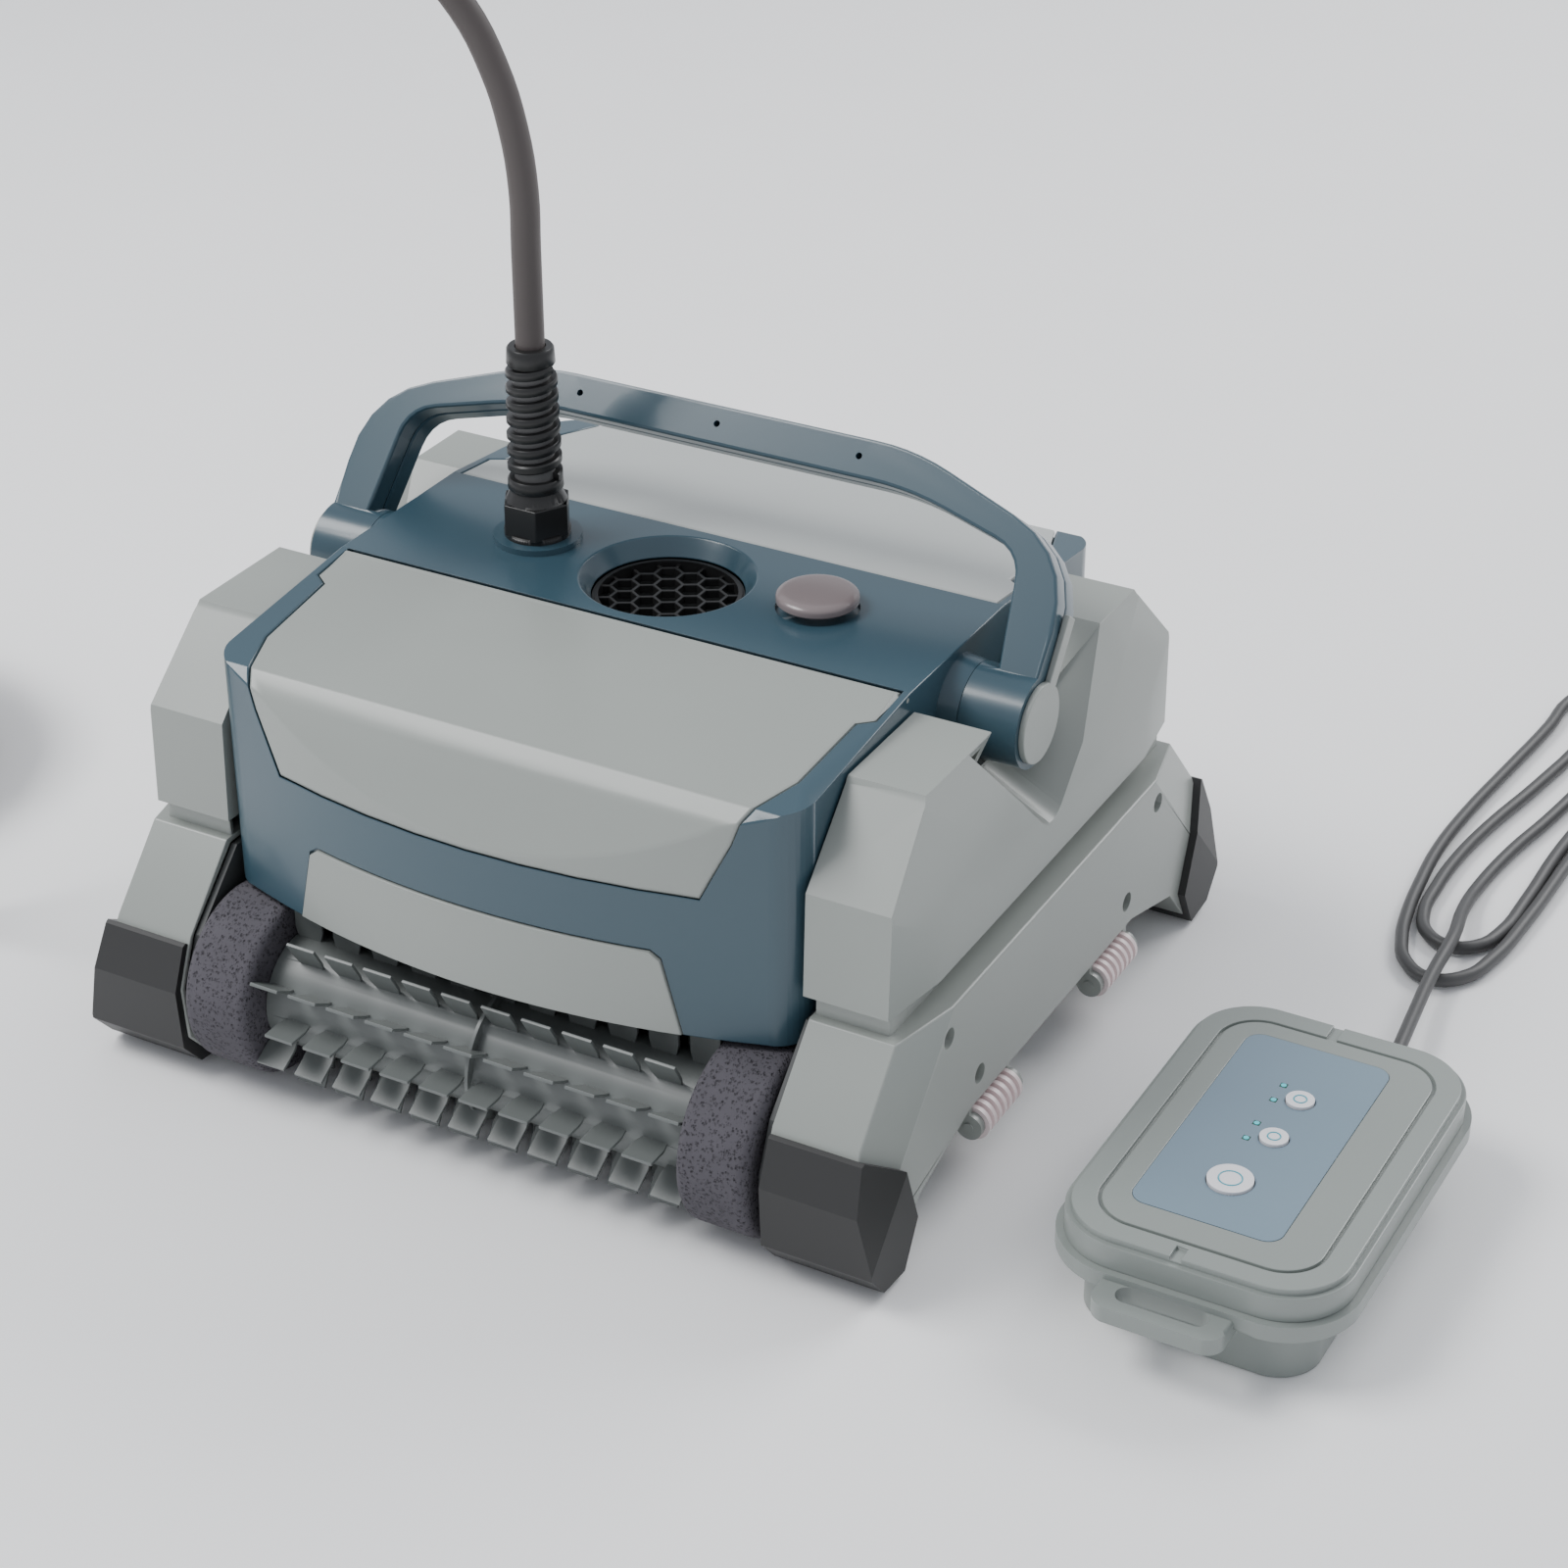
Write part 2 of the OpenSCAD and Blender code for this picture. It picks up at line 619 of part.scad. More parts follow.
// A rubber flap over an intake slot, hinged along its inner edge
module intake_flap() {
  color(DARK) {
    translate([-slot_w / 2 - 3, -slot_y - slot_d / 2 - 3, flap_z - flap_t / 2])
      cube([slot_w + 6, slot_d + 6, flap_t]);
    translate([0, -slot_y + slot_d / 2 + 4, flap_z + 1]) {
      rod_x(2, -slot_w / 2 - 3, slot_w / 2 + 3);
      rod_x(1, -slot_w / 2 - 6, slot_w / 2 + 6);
    }
  }
}
module intake_flap_front() { intake_flap(); }
module intake_flap_rear() { mirror([0, 1, 0]) intake_flap(); }

module filter_basket() {
  w = 2 * (brow_half - 8);
  y0 = -tray_y + 6;
  y1 = -pump_r - 7;
  z0 = motor_z + motor_r + 4;
  z1 = crease_z - 14;
  color(LIGHT) difference() {
    union() {
      translate([-w / 2, y0, z0]) cube([w, y1 - y0, z1 - z0]);
      translate([-w / 2 - 4, y0 - 2, z1 - 4]) cube([w + 8, y1 - y0 + 3, 4]);
    }
    translate([-w / 2 + 2, y0 + 2, z0 + 2]) cube([w - 4, y1 - y0 - 4, z1]);
    for (x = [-80:40:80]) translate([x - 15, y0 - 5, z0 + 14]) cube([30, 20, z1 - z0 - 32]);
    for (x = [-80:40:80]) translate([x - 15, y1 - 10, z0 + 14]) cube([30, 20, z1 - z0 - 32]);
    translate([-slot_w / 2, y0 + 12, z0 - 1]) cube([slot_w, 24, 4]);
  }
}

// ---------- pump ----------

module hexagons(r, cell, wall) {
  n = ceil(r / cell) + 1;
  for (i = [-n:n], j = [-n:n]) {
    x = (i + (j % 2 == 0 ? 0 : 0.5)) * cell;
    y = j * cell * sqrt(3) / 2;
    if (norm([x, y]) < r + cell / 2) translate([x, y]) rotate(30) circle((cell - wall) / sqrt(3), $fn = 6);
  }
}
module outlet_grille() {
  color("black") translate([0, 0, grille_z]) {
    linear_extrude(grille_t - 2) difference() {
      circle(outlet_r - 1);
      hexagons(outlet_r, 12, 1.6);
    }
    difference() {
      cylinder(r = outlet_r, h = grille_t);
      translate([0, 0, -1]) cylinder(r = outlet_r - 2, h = grille_t + 2);
    }
  }
}

module outlet_duct() {
  low = impeller_z - 12;
  color(DARK) difference() {
    translate([0, 0, low]) cylinder(r = outlet_r + 1, h = grille_z + grille_t - low - 1);
    translate([0, 0, low - 1]) cylinder(r = outlet_r + 1 - duct_wall, h = grille_z - low + 1 + eps);
    translate([0, 0, grille_z]) cylinder(r = outlet_r, h = 40);
  }
}

pump_shaft_r = 3;
module impeller() {
  color(LIGHT) translate([0, 0, impeller_z]) {
    cylinder(r = 9, h = 18);
    translate([0, 0, 16]) cylinder(r1 = 9, r2 = 3, h = 8);
    for (i = [0:3]) rotate([0, 0, 90 * i]) translate([6, -1, 1]) rotate([35, 0, 0]) cube([impeller_r - 9, 2, 18]);
    translate([0, 0, -34]) cylinder(r = pump_shaft_r, h = 35);
  }
}

module pump_motor() {
  low = tray_z + tray_t;
  color(DARK) difference() {
    union() {
      translate([0, 0, low]) cylinder(r = pump_r - eps, h = pump_top - low - 8);
      translate([0, 0, pump_top - 8 - eps]) cylinder(r1 = pump_r - eps, r2 = 12, h = 8);
    }
    translate([0, 0, impeller_z - 36]) cylinder(r = pump_shaft_r + fit, h = 60);
  }
}

// ---------- drive ----------

module drive_motor() {
  color(DARK) translate([0, -motor_y, motor_z]) {
    difference() {
      rod_x(motor_r - eps, skirt_in - frame_t - motor_len, skirt_in - frame_t - eps);
      rod_x(motor_shaft_r + fit, skirt_in - frame_t - shaft_in - 1, half_w);
    }
    rod_x(motor_r - 7, skirt_in - frame_t - motor_len - 8, skirt_in - frame_t - motor_len + 1);
  }
}
module drive_motor_front() { drive_motor(); }
module drive_motor_rear() { rotate([0, 0, 180]) drive_motor(); }

module flanged_pulley(r) {
  rod_x(r, pulley_x, pulley_x + pulley_w);
  rod_x(r + 2, pulley_x - 1.5, pulley_x);
}
module motor_pulley() {
  color(STEEL) translate([0, -motor_y, motor_z]) {
    flanged_pulley(motor_pulley_r);
    rod_x(motor_shaft_r, skirt_in - frame_t - shaft_in, pulley_x + pulley_w + 0.5);
  }
}
module motor_pulley_front() { motor_pulley(); }
module motor_pulley_rear() { rotate([0, 0, 180]) motor_pulley(); }

module belt_outline(t) {
  hull() {
    translate([-brush_y, axle_z]) circle(brush_pulley_r + t, $fn = 72);
    translate([-motor_y, motor_z]) circle(motor_pulley_r + t, $fn = 72);
  }
}
module drive_belts() {
  color(DARK) for (a = [0, 180]) rotate([0, 0, a])
    translate([pulley_x + 0.5, 0, 0]) rotate([90, 0, 90]) linear_extrude(pulley_w - 1) difference() {
      belt_outline(gap + belt_t);
      belt_outline(gap);
    }
}

// ---------- brushes ----------

module at_brush() { translate([0, -brush_y, axle_z]) children(); }

module brush_core() {
  color(FIN) at_brush() {
    rod_x(core_r, -brush_half, brush_half);
    rod_x(journal_r, -skirt_in, pulley_x + pulley_w + 0.5);
    flanged_pulley(brush_pulley_r);
  }
}
fin_t = 1.6;
fin_step = 21.4;
fin_w = 15.5;
fin_zone = brush_half - foam_w;
sleeve_r = core_r + 4;
// One row of fins as a comb, from the sleeve out to the brush's edge
module fin_comb(shift) {
  n = floor((2 * fin_zone - fin_w) / fin_step);
  x0 = -n * fin_step / 2 - fin_w / 2;
  translate([0, fin_t / 2, 0]) rotate([90, 0, 0]) linear_extrude(fin_t)
    for (i = [0:n - shift]) translate([x0 + i * fin_step + shift * fin_step / 2, sleeve_r - 1])
      polygon([[1.5, 0], [0, 6], [0, brush_r - sleeve_r], [fin_w, brush_r - sleeve_r], [fin_w, 6], [fin_w - 1.5, 0]]);
}
module brush_fins() {
  color(FIN) at_brush() {
    difference() {
      rod_x(sleeve_r, -fin_zone + gap, fin_zone - gap);
      rod_x(core_r, -fin_zone - 1, fin_zone + 1);
    }
    for (i = [0:fin_rows - 1]) rotate([360 * i / fin_rows, 0, 0]) fin_comb(i % 2);
    // joint of the two sleeve halves
    rotate([0, 90, 0]) translate([0, 0, -1]) difference() {
      cylinder(r = sleeve_r + 5, h = 2);
      translate([0, 0, -1]) cylinder(r = core_r, h = 4);
    }
  }
}
module foam_ring() {
  difference() {
    union() {
      rod_x(brush_r, fin_zone, brush_half - 9);
      translate([brush_half - 9, 0, 0]) rotate([0, 90, 0]) cylinder(r1 = brush_r, r2 = brush_r - 7, h = 9);
    }
    rod_x(core_r, fin_zone - 1, brush_half + 1);
  }
}
module foam_rings() { color(FOAM) at_brush() both_sides() foam_ring(); }
module brush_core_front() { brush_core(); }
module brush_core_rear() { rotate([0, 0, 180]) brush_core(); }
module brush_fins_front() { brush_fins(); }
module brush_fins_rear() { rotate([0, 0, 180]) brush_fins(); }
module foam_rings_front() { foam_rings(); }
module foam_rings_rear() { rotate([0, 0, 180]) foam_rings(); }

// ---------- handle ----------

module at_hub() { translate([0, 0, hub_z]) rotate([-handle_lean, 0, 0]) children(); }

bar_t = 19;                             // height of the top bar
handle_outer = mirrored([[hub_out, 10], [hub_out, 0.71 * handle_reach, 36], [handle_w + 6, handle_reach, 20]]);
handle_inner = mirrored([[arm_in, 9], [arm_in - 7, 0.67 * handle_reach, 14], [handle_w + 8, handle_reach - bar_t, 20]]);
// Outline of the bail in its own plane, out along one edge and back along the other
bail = soft(concat(handle_outer, [for (i = [len(handle_inner) - 1:-1:0]) handle_inner[i]]));
module handle_hub() {
  difference() {
    rod_x(hub_r, hub_in, hub_out);
    rod_x(hub_pin_r + fit, hub_in - 1, hub_out - 8);
  }
}
module handle_front_shell() {
  color(BLUE) at_hub() {
    difference() {
      rotate([90, 0, 0]) linear_extrude(handle_half_t) polygon(bail);
      both_sides() rod_x(hub_r - 1, hub_in - 1, half_w);
      for (x = [-75.5, 0, 75.5]) translate([x, 1, handle_reach - 9]) rotate([90, 0, 0]) {
        cylinder(r = 1.6, h = 20);
      }
    }
    both_sides() handle_hub();
  }
}
module handle_rear_shell() {
  color(BLUE) at_hub() difference() {
    translate([0, handle_half_t, 0]) rotate([90, 0, 0]) linear_extrude(handle_half_t - eps) polygon(bail);
    both_sides() rod_x(hub_r + gap, hub_in - 1, half_w);
  }
}
module hub_caps() {
  color(GREY) at_hub() both_sides() {
    rod_x(hub_r - 3, hub_out + eps, hub_out + 3);
    translate([hub_out + eps, -4, 12]) cube([3 - eps, 8, 38]);
  }
}
module hub_pins() {
  color(STEEL) translate([0, 0, hub_z]) both_sides() rod_x(hub_pin_r - eps, core_x - 30, hub_out - 9);
}

// ---------- deck fittings ----------

module top_button() {
  color([0.50, 0.46, 0.47]) translate([button_x, deck_line_y, deck_z]) {
    translate([0, 0, button_travel]) cylinder(r = button_r, h = 3);
    translate([0, 0, button_travel + 3]) cylinder(r1 = button_r, r2 = button_r - 5, h = 2.5);
    translate([0, 0, -19]) cylinder(r = 5, h = 24);
  }
}
module button_spring() {
  color(STEEL) translate([button_x, deck_line_y, deck_z - 2]) difference() {
    cylinder(r = 9, h = button_travel + 2);
    translate([0, 0, -1]) cylinder(r = 7, h = 20);
  }
}

module cable_gland() {
  low = deck_z + 3;
  color("black") translate([gland_x, deck_line_y, 0]) difference() {
    union() {
      translate([0, 0, low - eps]) cylinder(r = gland_af / 2 + 1, h = 3);
      translate([0, 0, low + 2]) cylinder(r = gland_r, h = gland_top - low - 8, $fn = 6);
      translate([0, 0, gland_top - 6.5]) cylinder(r1 = gland_af / 2, r2 = gland_af / 2 - 3, h = 6.5);
    }
    translate([0, 0, low - 1]) cylinder(r = cable_d / 2 + 1, h = 60);
  }
}
relief_rings = 8;
module strain_relief() {
  step = (relief_top - gland_top - 8) / relief_rings;
  color("black") translate([gland_x, deck_line_y, gland_top - eps]) difference() {
    union() {
      cylinder(r1 = cable_d / 2 + 4, r2 = cable_d / 2 + 2, h = relief_top - gland_top);
      for (i = [0:relief_rings - 1]) translate([0, 0, 1 + i * step])
        cylinder(r1 = cable_d / 2 + 6.5 - 0.2 * i, r2 = cable_d / 2 + 5.5 - 0.2 * i, h = step * 0.62);
      translate([0, 0, relief_top - gland_top - 8]) cylinder(r = cable_d / 2 + 4.5, h = 8);
    }
    translate([0, 0, -1]) cylinder(r = cable_d / 2 + 0.4, h = 120);
  }
}

module float_cable() { color(DARK) tube(CABLE_ROUTE, cable_d / 2, 12); }
module cable_coil() {
  r1 = coil_r + cable_d / 2;
  r0 = r1 - coil_cols * cable_d;
  h = coil_rows * cable_d;
  color(DARK) translate([coil_x, coil_y, 0]) rotate_extrude($fn = 96) polygon([[r0, 0], [r1, 0], [r1, h],
    [r1 - cable_d, h], [r1 - cable_d, h + cable_d], [r0 + cable_d, h + cable_d], [r0 + cable_d, h], [r0, h]]);
}
module cable_connector() {
  z = (coil_rows + 1) * cable_d;
  color(DARK) translate([coil_x - 20, coil_y - coil_r + 1.5 * cable_d, z + 13]) {
    rod_x(13, -46, 0);
    rod_x(9, -1, 26);
    rod_x(11, -60, -45);
  }
}

// ---------- guide rollers ----------

module roller() {
  color([0.92, 0.86, 0.86]) difference() {
    rotate([90, 0, 0]) translate([0, 0, -roller_len / 2]) {
      cylinder(r = roller_r - 2, h = roller_len);
      for (i = [0:6]) translate([0, 0, i * (roller_len - 2.5) / 6]) cylinder(r = roller_r, h = 2.5);
    }
    rotate([90, 0, 0]) translate([0, 0, -roller_len]) cylinder(r = roller_pin_r + fit, h = 2 * roller_len);
  }
}
module at_roller(sx, sy) { translate([sx * roller_x, sy * roller_y, roller_z]) children(); }
module guide_roller_front_left() { at_roller(-1, -1) roller(); }
module guide_roller_front_right() { at_roller(1, -1) roller(); }
module guide_roller_rear_left() { at_roller(-1, 1) roller(); }
module guide_roller_rear_right() { at_roller(1, 1) roller(); }
module roller_brackets() {
  ear = 4;
  span = roller_len + 2 * gap + 2 * ear;
  color(GREY) for (sx = [-1, 1], sy = [-1, 1]) at_roller(sx, sy) mirror([sx < 0 ? 1 : 0, 0, 0]) {
    for (s = [-1, 1]) translate([0, s * (roller_len / 2 + gap + ear / 2), 0]) rotate([90, 0, 0]) translate([0, 0, -ear / 2]) {
      cylinder(r = 6.5, h = ear);
      translate([-14, -2, 0]) cube([14, 8.5, ear]);
    }
    rotate([90, 0, 0]) translate([0, 0, -roller_len / 2 - 5]) cylinder(r = roller_pin_r, h = roller_len + 10);
    translate([-14, -span / 2, roller_r + 0.8]) cube([14, span, roller_lift - roller_r - 0.8 - eps]);
    for (s = [-1, 1]) translate([-14, s * (span - ear) / 2 - ear / 2, 0]) cube([14, ear, roller_lift - 1]);
    translate([skirt_in - frame_t - roller_x, -span / 2, tray_z - roller_z])
      cube([roller_x - skirt_in + frame_t - 10, span, 3]);
  }
}

// ---------- control box ----------

module lights(r) { for (y = LIGHT_Y) translate([light_x - r, y - r, 0]) cube([2 * r, 2 * r, 200]); }
module control_box_base() {
  tub_w = box_w - 22;
  tub_d = box_d - 18;
  tub_r = box_corner_r - 11;
  color(GREY) difference() {
    union() {
      slab(tub_w, tub_d, flange_z + 1, tub_r);
      translate([0, 0, flange_z]) slab(box_w + 2 * flange_out, box_d + 2 * flange_out, flange_t, box_corner_r + flange_out);
      // carrying handle at the near end
      translate([label_x, -box_d / 2 - 5.5, flange_z - 3]) difference() {
        slab(60, 31, 8, 9);
        translate([0, -3.3, -1]) slab(42, 10.4, 20, 5);
      }
    }
    translate([0, 0, box_wall]) slab(tub_w - 2 * box_wall, tub_d - 2 * box_wall, flange_z, tub_r - box_wall);
    translate([0, 0, flange_z - 1]) slab(tub_w - 2 * box_wall, tub_d - 2 * box_wall, 20, tub_r - box_wall);
    translate([lead_exit_x, box_d / 2 - 20, lead_exit_z]) rotate([-90, 0, 0]) cylinder(r = 7, h = 30);
  }
  // posts under the control board
  color(GREY) for (sx = [-1, 1], sy = [-1, 1])
    translate([label_x + sx * (label_w / 2 - 6), label_y + sy * (label_d / 2 - 6), box_wall - eps]) cylinder(r = 3, h = board_z - box_wall);
}
groove_w = 1.6;
groove_in = 13.3;
notch_y = [-box_d / 2 + 4.8, box_d / 2 - 7.5];
module control_box_cover() {
  low = flange_z + flange_t;
  in_r = box_corner_r - groove_in + 2;
  color(GREY) difference() {
    union() {
      translate([0, 0, low]) slab(box_w, box_d, box_h - low - 3, box_corner_r);
      translate([0, 0, box_h - 3 - eps]) slab(box_w - 5, box_d - 5, 3, box_corner_r - 2.5);
    }
    translate([0, 0, low - 1]) slab(box_w - 2 * box_wall, box_d - 2 * box_wall, box_h - low - 6, box_corner_r - box_wall);
    // round groove and the notches in the short sides
    translate([0, 0, box_h - 1.8]) difference() {
      slab(box_w - 2 * groove_in, box_d - 2 * groove_in, 3, in_r);
      translate([0, 0, -1])
        slab(box_w - 2 * groove_in - 2 * groove_w, box_d - 2 * groove_in - 2 * groove_w, 6, in_r - groove_w);
    }
    for (y = notch_y) translate([label_x - 2.5, y - 6, box_h - 1.8]) cube([5, 12, 3]);
    // seat of the label and bores of the keys
    translate([label_x, label_y, box_h - label_t]) slab(label_w, label_d, 3, 8);
    for (k = KEYS) translate([k[0], k[1], low]) cylinder(r = k[2] + 0.5, h = 60);
    lights(1.7);
  }
}
// Place and radius of each key, and places of the four indicator lights
KEYS = [[-4.4, -36.3, 10.3], [0.9, 1.2, 6.5], [0.9, 32.9, 6.5]];
LIGHT_Y = [-4.1, 8.4, 28.4, 40.9];
light_x = -10;
module control_label() {
  color([0.54, 0.62, 0.67]) difference() {
    translate([label_x, label_y, box_h - label_t]) slab(label_w - 0.4, label_d - 0.4, label_t, 7.8);
    for (k = KEYS) translate([k[0], k[1], 0]) cylinder(r = k[2] + 0.5, h = 200);
    lights(1.7);
  }
}
module key(k) {
  color("white") translate([k[0], k[1], 0]) {
    translate([0, 0, box_h - 6]) cylinder(r = k[2], h = 6 + key_travel);
    translate([0, 0, board_z + 4]) cylinder(r = 2.5, h = box_h - board_z - 8);
  }
}
module power_button() { key(KEYS[0]); }
module mode_button() { key(KEYS[1]); }
module time_button() { key(KEYS[2]); }
module control_board() {
  color([0.10, 0.32, 0.20]) translate([label_x - label_w / 2 + 2, label_y - label_d / 2 + 2, board_z])
    cube([label_w - 4, label_d - 4, 1.6]);
  color(DARK) for (k = KEYS) translate([k[0] - 3, k[1] - 3, board_z]) cube([6, 6, 2.6]);
  color([0.5, 0.9, 0.95]) intersection() {
    lights(1.5);
    translate([-50, -100, board_z + 1]) cube([100, 200, box_h - board_z - 1]);
  }
}
module power_supply() {
  color(STEEL) translate([-35, -38, box_wall]) cube([70, 76, 24]);
}
gland_y = box_d / 2 - 9;                // far wall of the tub
module lead_gland() {
  color(DARK) translate([lead_exit_x, 0, lead_exit_z]) rotate([-90, 0, 0]) difference() {
    union() {
      translate([0, 0, gland_y - 5]) cylinder(r = 7 - eps, h = 6);
      translate([0, 0, gland_y + eps]) cylinder(r1 = 10, r2 = lead_d / 2 + 1.5, h = 20);
    }
    cylinder(r = lead_d / 2 + 0.3, h = 200);
  }
}
module mains_lead() { color(DARK) tube(LEAD_ROUTE, lead_d / 2, 8); }
plug_end = LEAD_ROUTE[len(LEAD_ROUTE) - 1];
module mains_plug() {
  color(DARK) translate([plug_end[0], plug_end[1], 0]) {
    translate([-14, 18, 0]) cube([28, 34, 20]);
    translate([0, -6, plug_end[2]]) rotate([-90, 0, 0]) difference() {
      cylinder(r1 = 6, r2 = 8.5, h = 25);
      translate([0, 0, -1]) cylinder(r = lead_d / 2 + 0.3, h = 8);
    }
  }
  color(STEEL) for (s = [-1, 1]) translate([plug_end[0] + s * 8, plug_end[1] + 51, 10]) rotate([-90, 0, 0])
    cylinder(r = 2.4, h = 19);
}

// ---------- the named pieces ----------

at_robot() bottom_plate();
at_robot() top_shell();
at_robot() filter_lid();
at_robot() rear_cover();
at_robot() nose_panel();  // front_nose_panel
at_robot() rotate([0, 0, 180]) nose_panel();  // rear_nose_panel
at_robot() side_cover_left();
at_robot() side_cover_right();
at_robot() side_skirt_left();
at_robot() side_skirt_right();
at_robot() side_frames();
at_robot() front_bumpers();
at_robot() rear_bumpers();
at_robot() outlet_grille();
at_robot() outlet_duct();
at_robot() impeller();
at_robot() pump_motor();
at_robot() drive_motor_front();
at_robot() drive_motor_rear();
at_robot() motor_pulley_front();
at_robot() motor_pulley_rear();
at_robot() drive_belts();
at_robot() brush_core_front();
at_robot() brush_core_rear();
at_robot() brush_fins_front();
at_robot() brush_fins_rear();
at_robot() foam_rings_front();
at_robot() foam_rings_rear();
at_robot() filter_basket();
at_robot() intake_flap_front();
at_robot() intake_flap_rear();
at_robot() handle_front_shell();
at_robot() handle_rear_shell();
at_robot() hub_caps();
at_robot() hub_pins();
at_robot() top_button();
at_robot() button_spring();
at_robot() cable_gland();
at_robot() strain_relief();
at_robot() float_cable();
at_robot() cable_coil();
at_robot() cable_connector();
at_robot() guide_roller_front_left();
at_robot() guide_roller_front_right();
at_robot() guide_roller_rear_left();
at_robot() guide_roller_rear_right();
at_robot() roller_brackets();
at_robot() side_screws();
at_box() control_box_base();
at_box() control_box_cover();
at_box() control_label();
at_box() power_button();
at_box() mode_button();
at_box() time_button();
at_box() control_board();
at_box() power_supply();
at_box() lead_gland();
at_robot() mains_lead();
at_robot() mains_plug();
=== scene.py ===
# Looks of the robotic pool cleaner, its floating cable and its poolside control box.
# Lengths are in metres. on_robot() and on_box() take millimetres in the robot's and box's frames.
import json
import math

import bmesh
import bpy
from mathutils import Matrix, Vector


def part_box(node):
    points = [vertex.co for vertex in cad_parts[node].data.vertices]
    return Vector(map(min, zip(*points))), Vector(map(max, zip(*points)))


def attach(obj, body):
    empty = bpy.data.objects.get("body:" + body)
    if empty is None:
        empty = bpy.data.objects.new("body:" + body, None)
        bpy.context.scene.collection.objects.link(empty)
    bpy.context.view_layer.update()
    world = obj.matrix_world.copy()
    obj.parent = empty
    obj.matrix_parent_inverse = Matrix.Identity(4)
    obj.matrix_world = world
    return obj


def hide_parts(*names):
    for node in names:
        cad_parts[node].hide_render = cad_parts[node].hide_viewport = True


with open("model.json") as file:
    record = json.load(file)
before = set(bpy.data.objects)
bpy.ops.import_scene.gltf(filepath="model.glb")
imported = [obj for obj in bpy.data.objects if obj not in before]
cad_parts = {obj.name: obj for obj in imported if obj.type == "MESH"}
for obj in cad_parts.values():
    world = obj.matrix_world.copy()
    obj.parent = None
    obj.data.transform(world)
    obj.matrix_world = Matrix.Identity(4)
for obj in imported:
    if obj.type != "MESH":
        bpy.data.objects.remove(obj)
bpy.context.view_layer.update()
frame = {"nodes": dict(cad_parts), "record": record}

MM = 0.001
WELD = 0.01 * MM
CABLE_D = 14 * MM
LEAD_D = 7 * MM


def middle(node):
    """The middle of a CAD node's box."""
    low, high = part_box(node)
    return (low + high) / 2


ROBOT = Vector((middle("outlet_grille").x, middle("outlet_grille").y, 0))
BOX = Vector((middle("control_box_cover").x, middle("control_box_cover").y, 0))


def on_robot(x, y, z):
    return ROBOT + Vector((x, y, z)) * MM


def on_box(x, y, z):
    return BOX + Vector((x, y, z)) * MM


# ---------- camera ----------

VIEW_TURN = 28.61
VIEW_DROP = 30.16
VIEW_FROM = on_robot(723.7, -1207.8, 928.2)


def add_camera():
    lens = bpy.data.cameras.new("camera")
    lens.lens = 77
    lens.sensor_width = 36
    lens.shift_x = -0.0035
    lens.shift_y = -0.0035
    lens.clip_end = 50
    camera = bpy.data.objects.new("camera", lens)
    bpy.context.scene.collection.objects.link(camera)
    camera.location = VIEW_FROM
    camera.rotation_euler = (math.radians(90 - VIEW_DROP), 0, math.radians(VIEW_TURN))
    bpy.context.scene.camera = camera


add_camera()


# ---------- materials ----------

class Tone:
    """A value or colour in a material, so that shader maths is written as sums."""

    def __init__(self, finish, socket):
        self.finish = finish
        self.socket = socket

    def maths(self, operation, *values):
        inputs = dict(enumerate(values))
        return self.finish.node("Math", {"operation": operation}, inputs)

    def __add__(self, other):
        return self.maths("ADD", self, other)

    def __mul__(self, other):
        return self.maths("MULTIPLY", self, other)


class Finish:
    """A material, built up from its Principled shader."""

    def __init__(self, name, colour, **settings):
        self.material = bpy.data.materials.new(name)
        self.material.use_nodes = True
        self.tree = self.material.node_tree
        self.shader = self.tree.nodes["Principled BSDF"]
        self.colour = (*colour, 1)
        self.set("Base Color", self.colour)
        for socket, value in settings.items():
            self.set(socket.replace("_", " "), value)

    def set(self, socket, value):
        self.plug(self.shader.inputs[socket], value)

    def plug(self, socket, value):
        if isinstance(value, Tone):
            self.tree.links.new(value.socket, socket)
        else:
            socket.default_value = value

    def node(self, kind, settings, inputs, output=0):
        made = self.tree.nodes.new("ShaderNode" + kind)
        for name, value in settings.items():
            if name == "stops":
                self.set_stops(made.color_ramp.elements, value)
            else:
                setattr(made, name, value)
        for name, value in inputs.items():
            self.plug(made.inputs[name], value)
        return Tone(self, made.outputs[output])

    def set_stops(self, elements, stops):
        while len(elements) < len(stops):
            elements.new(1)
        for element, (place, colour) in zip(elements, stops):
            element.position = place
            element.color = (*colour, 1)

    def place(self):
        return self.node("TexCoord", {}, {}, "Object")

    def grain(self, scale, detail=2):
        inputs = {"Vector": self.place(), "Scale": scale, "Detail": detail}
        return self.node("TexNoise", {}, inputs)

    def pores(self, scale):
        inputs = {"Vector": self.place(), "Scale": scale}
        return self.node("TexVoronoi", {}, inputs, "Distance")

    def ramp(self, value, *stops):
        return self.node("ValToRGB", {"stops": stops}, {"Fac": value})

    def mix(self, share, first, second):
        inputs = {"Factor": share, 6: first, 7: second}
        return self.node("Mix", {"data_type": "RGBA"}, inputs, 2)

    def bump(self, height, strength, distance):
        inputs = {"Height": height, "Strength": strength, "Distance": distance}
        self.set("Normal", self.node("Bump", {}, inputs))


def shade(colour, factor):
    return (colour[0] * factor, colour[1] * factor, colour[2] * factor, 1)


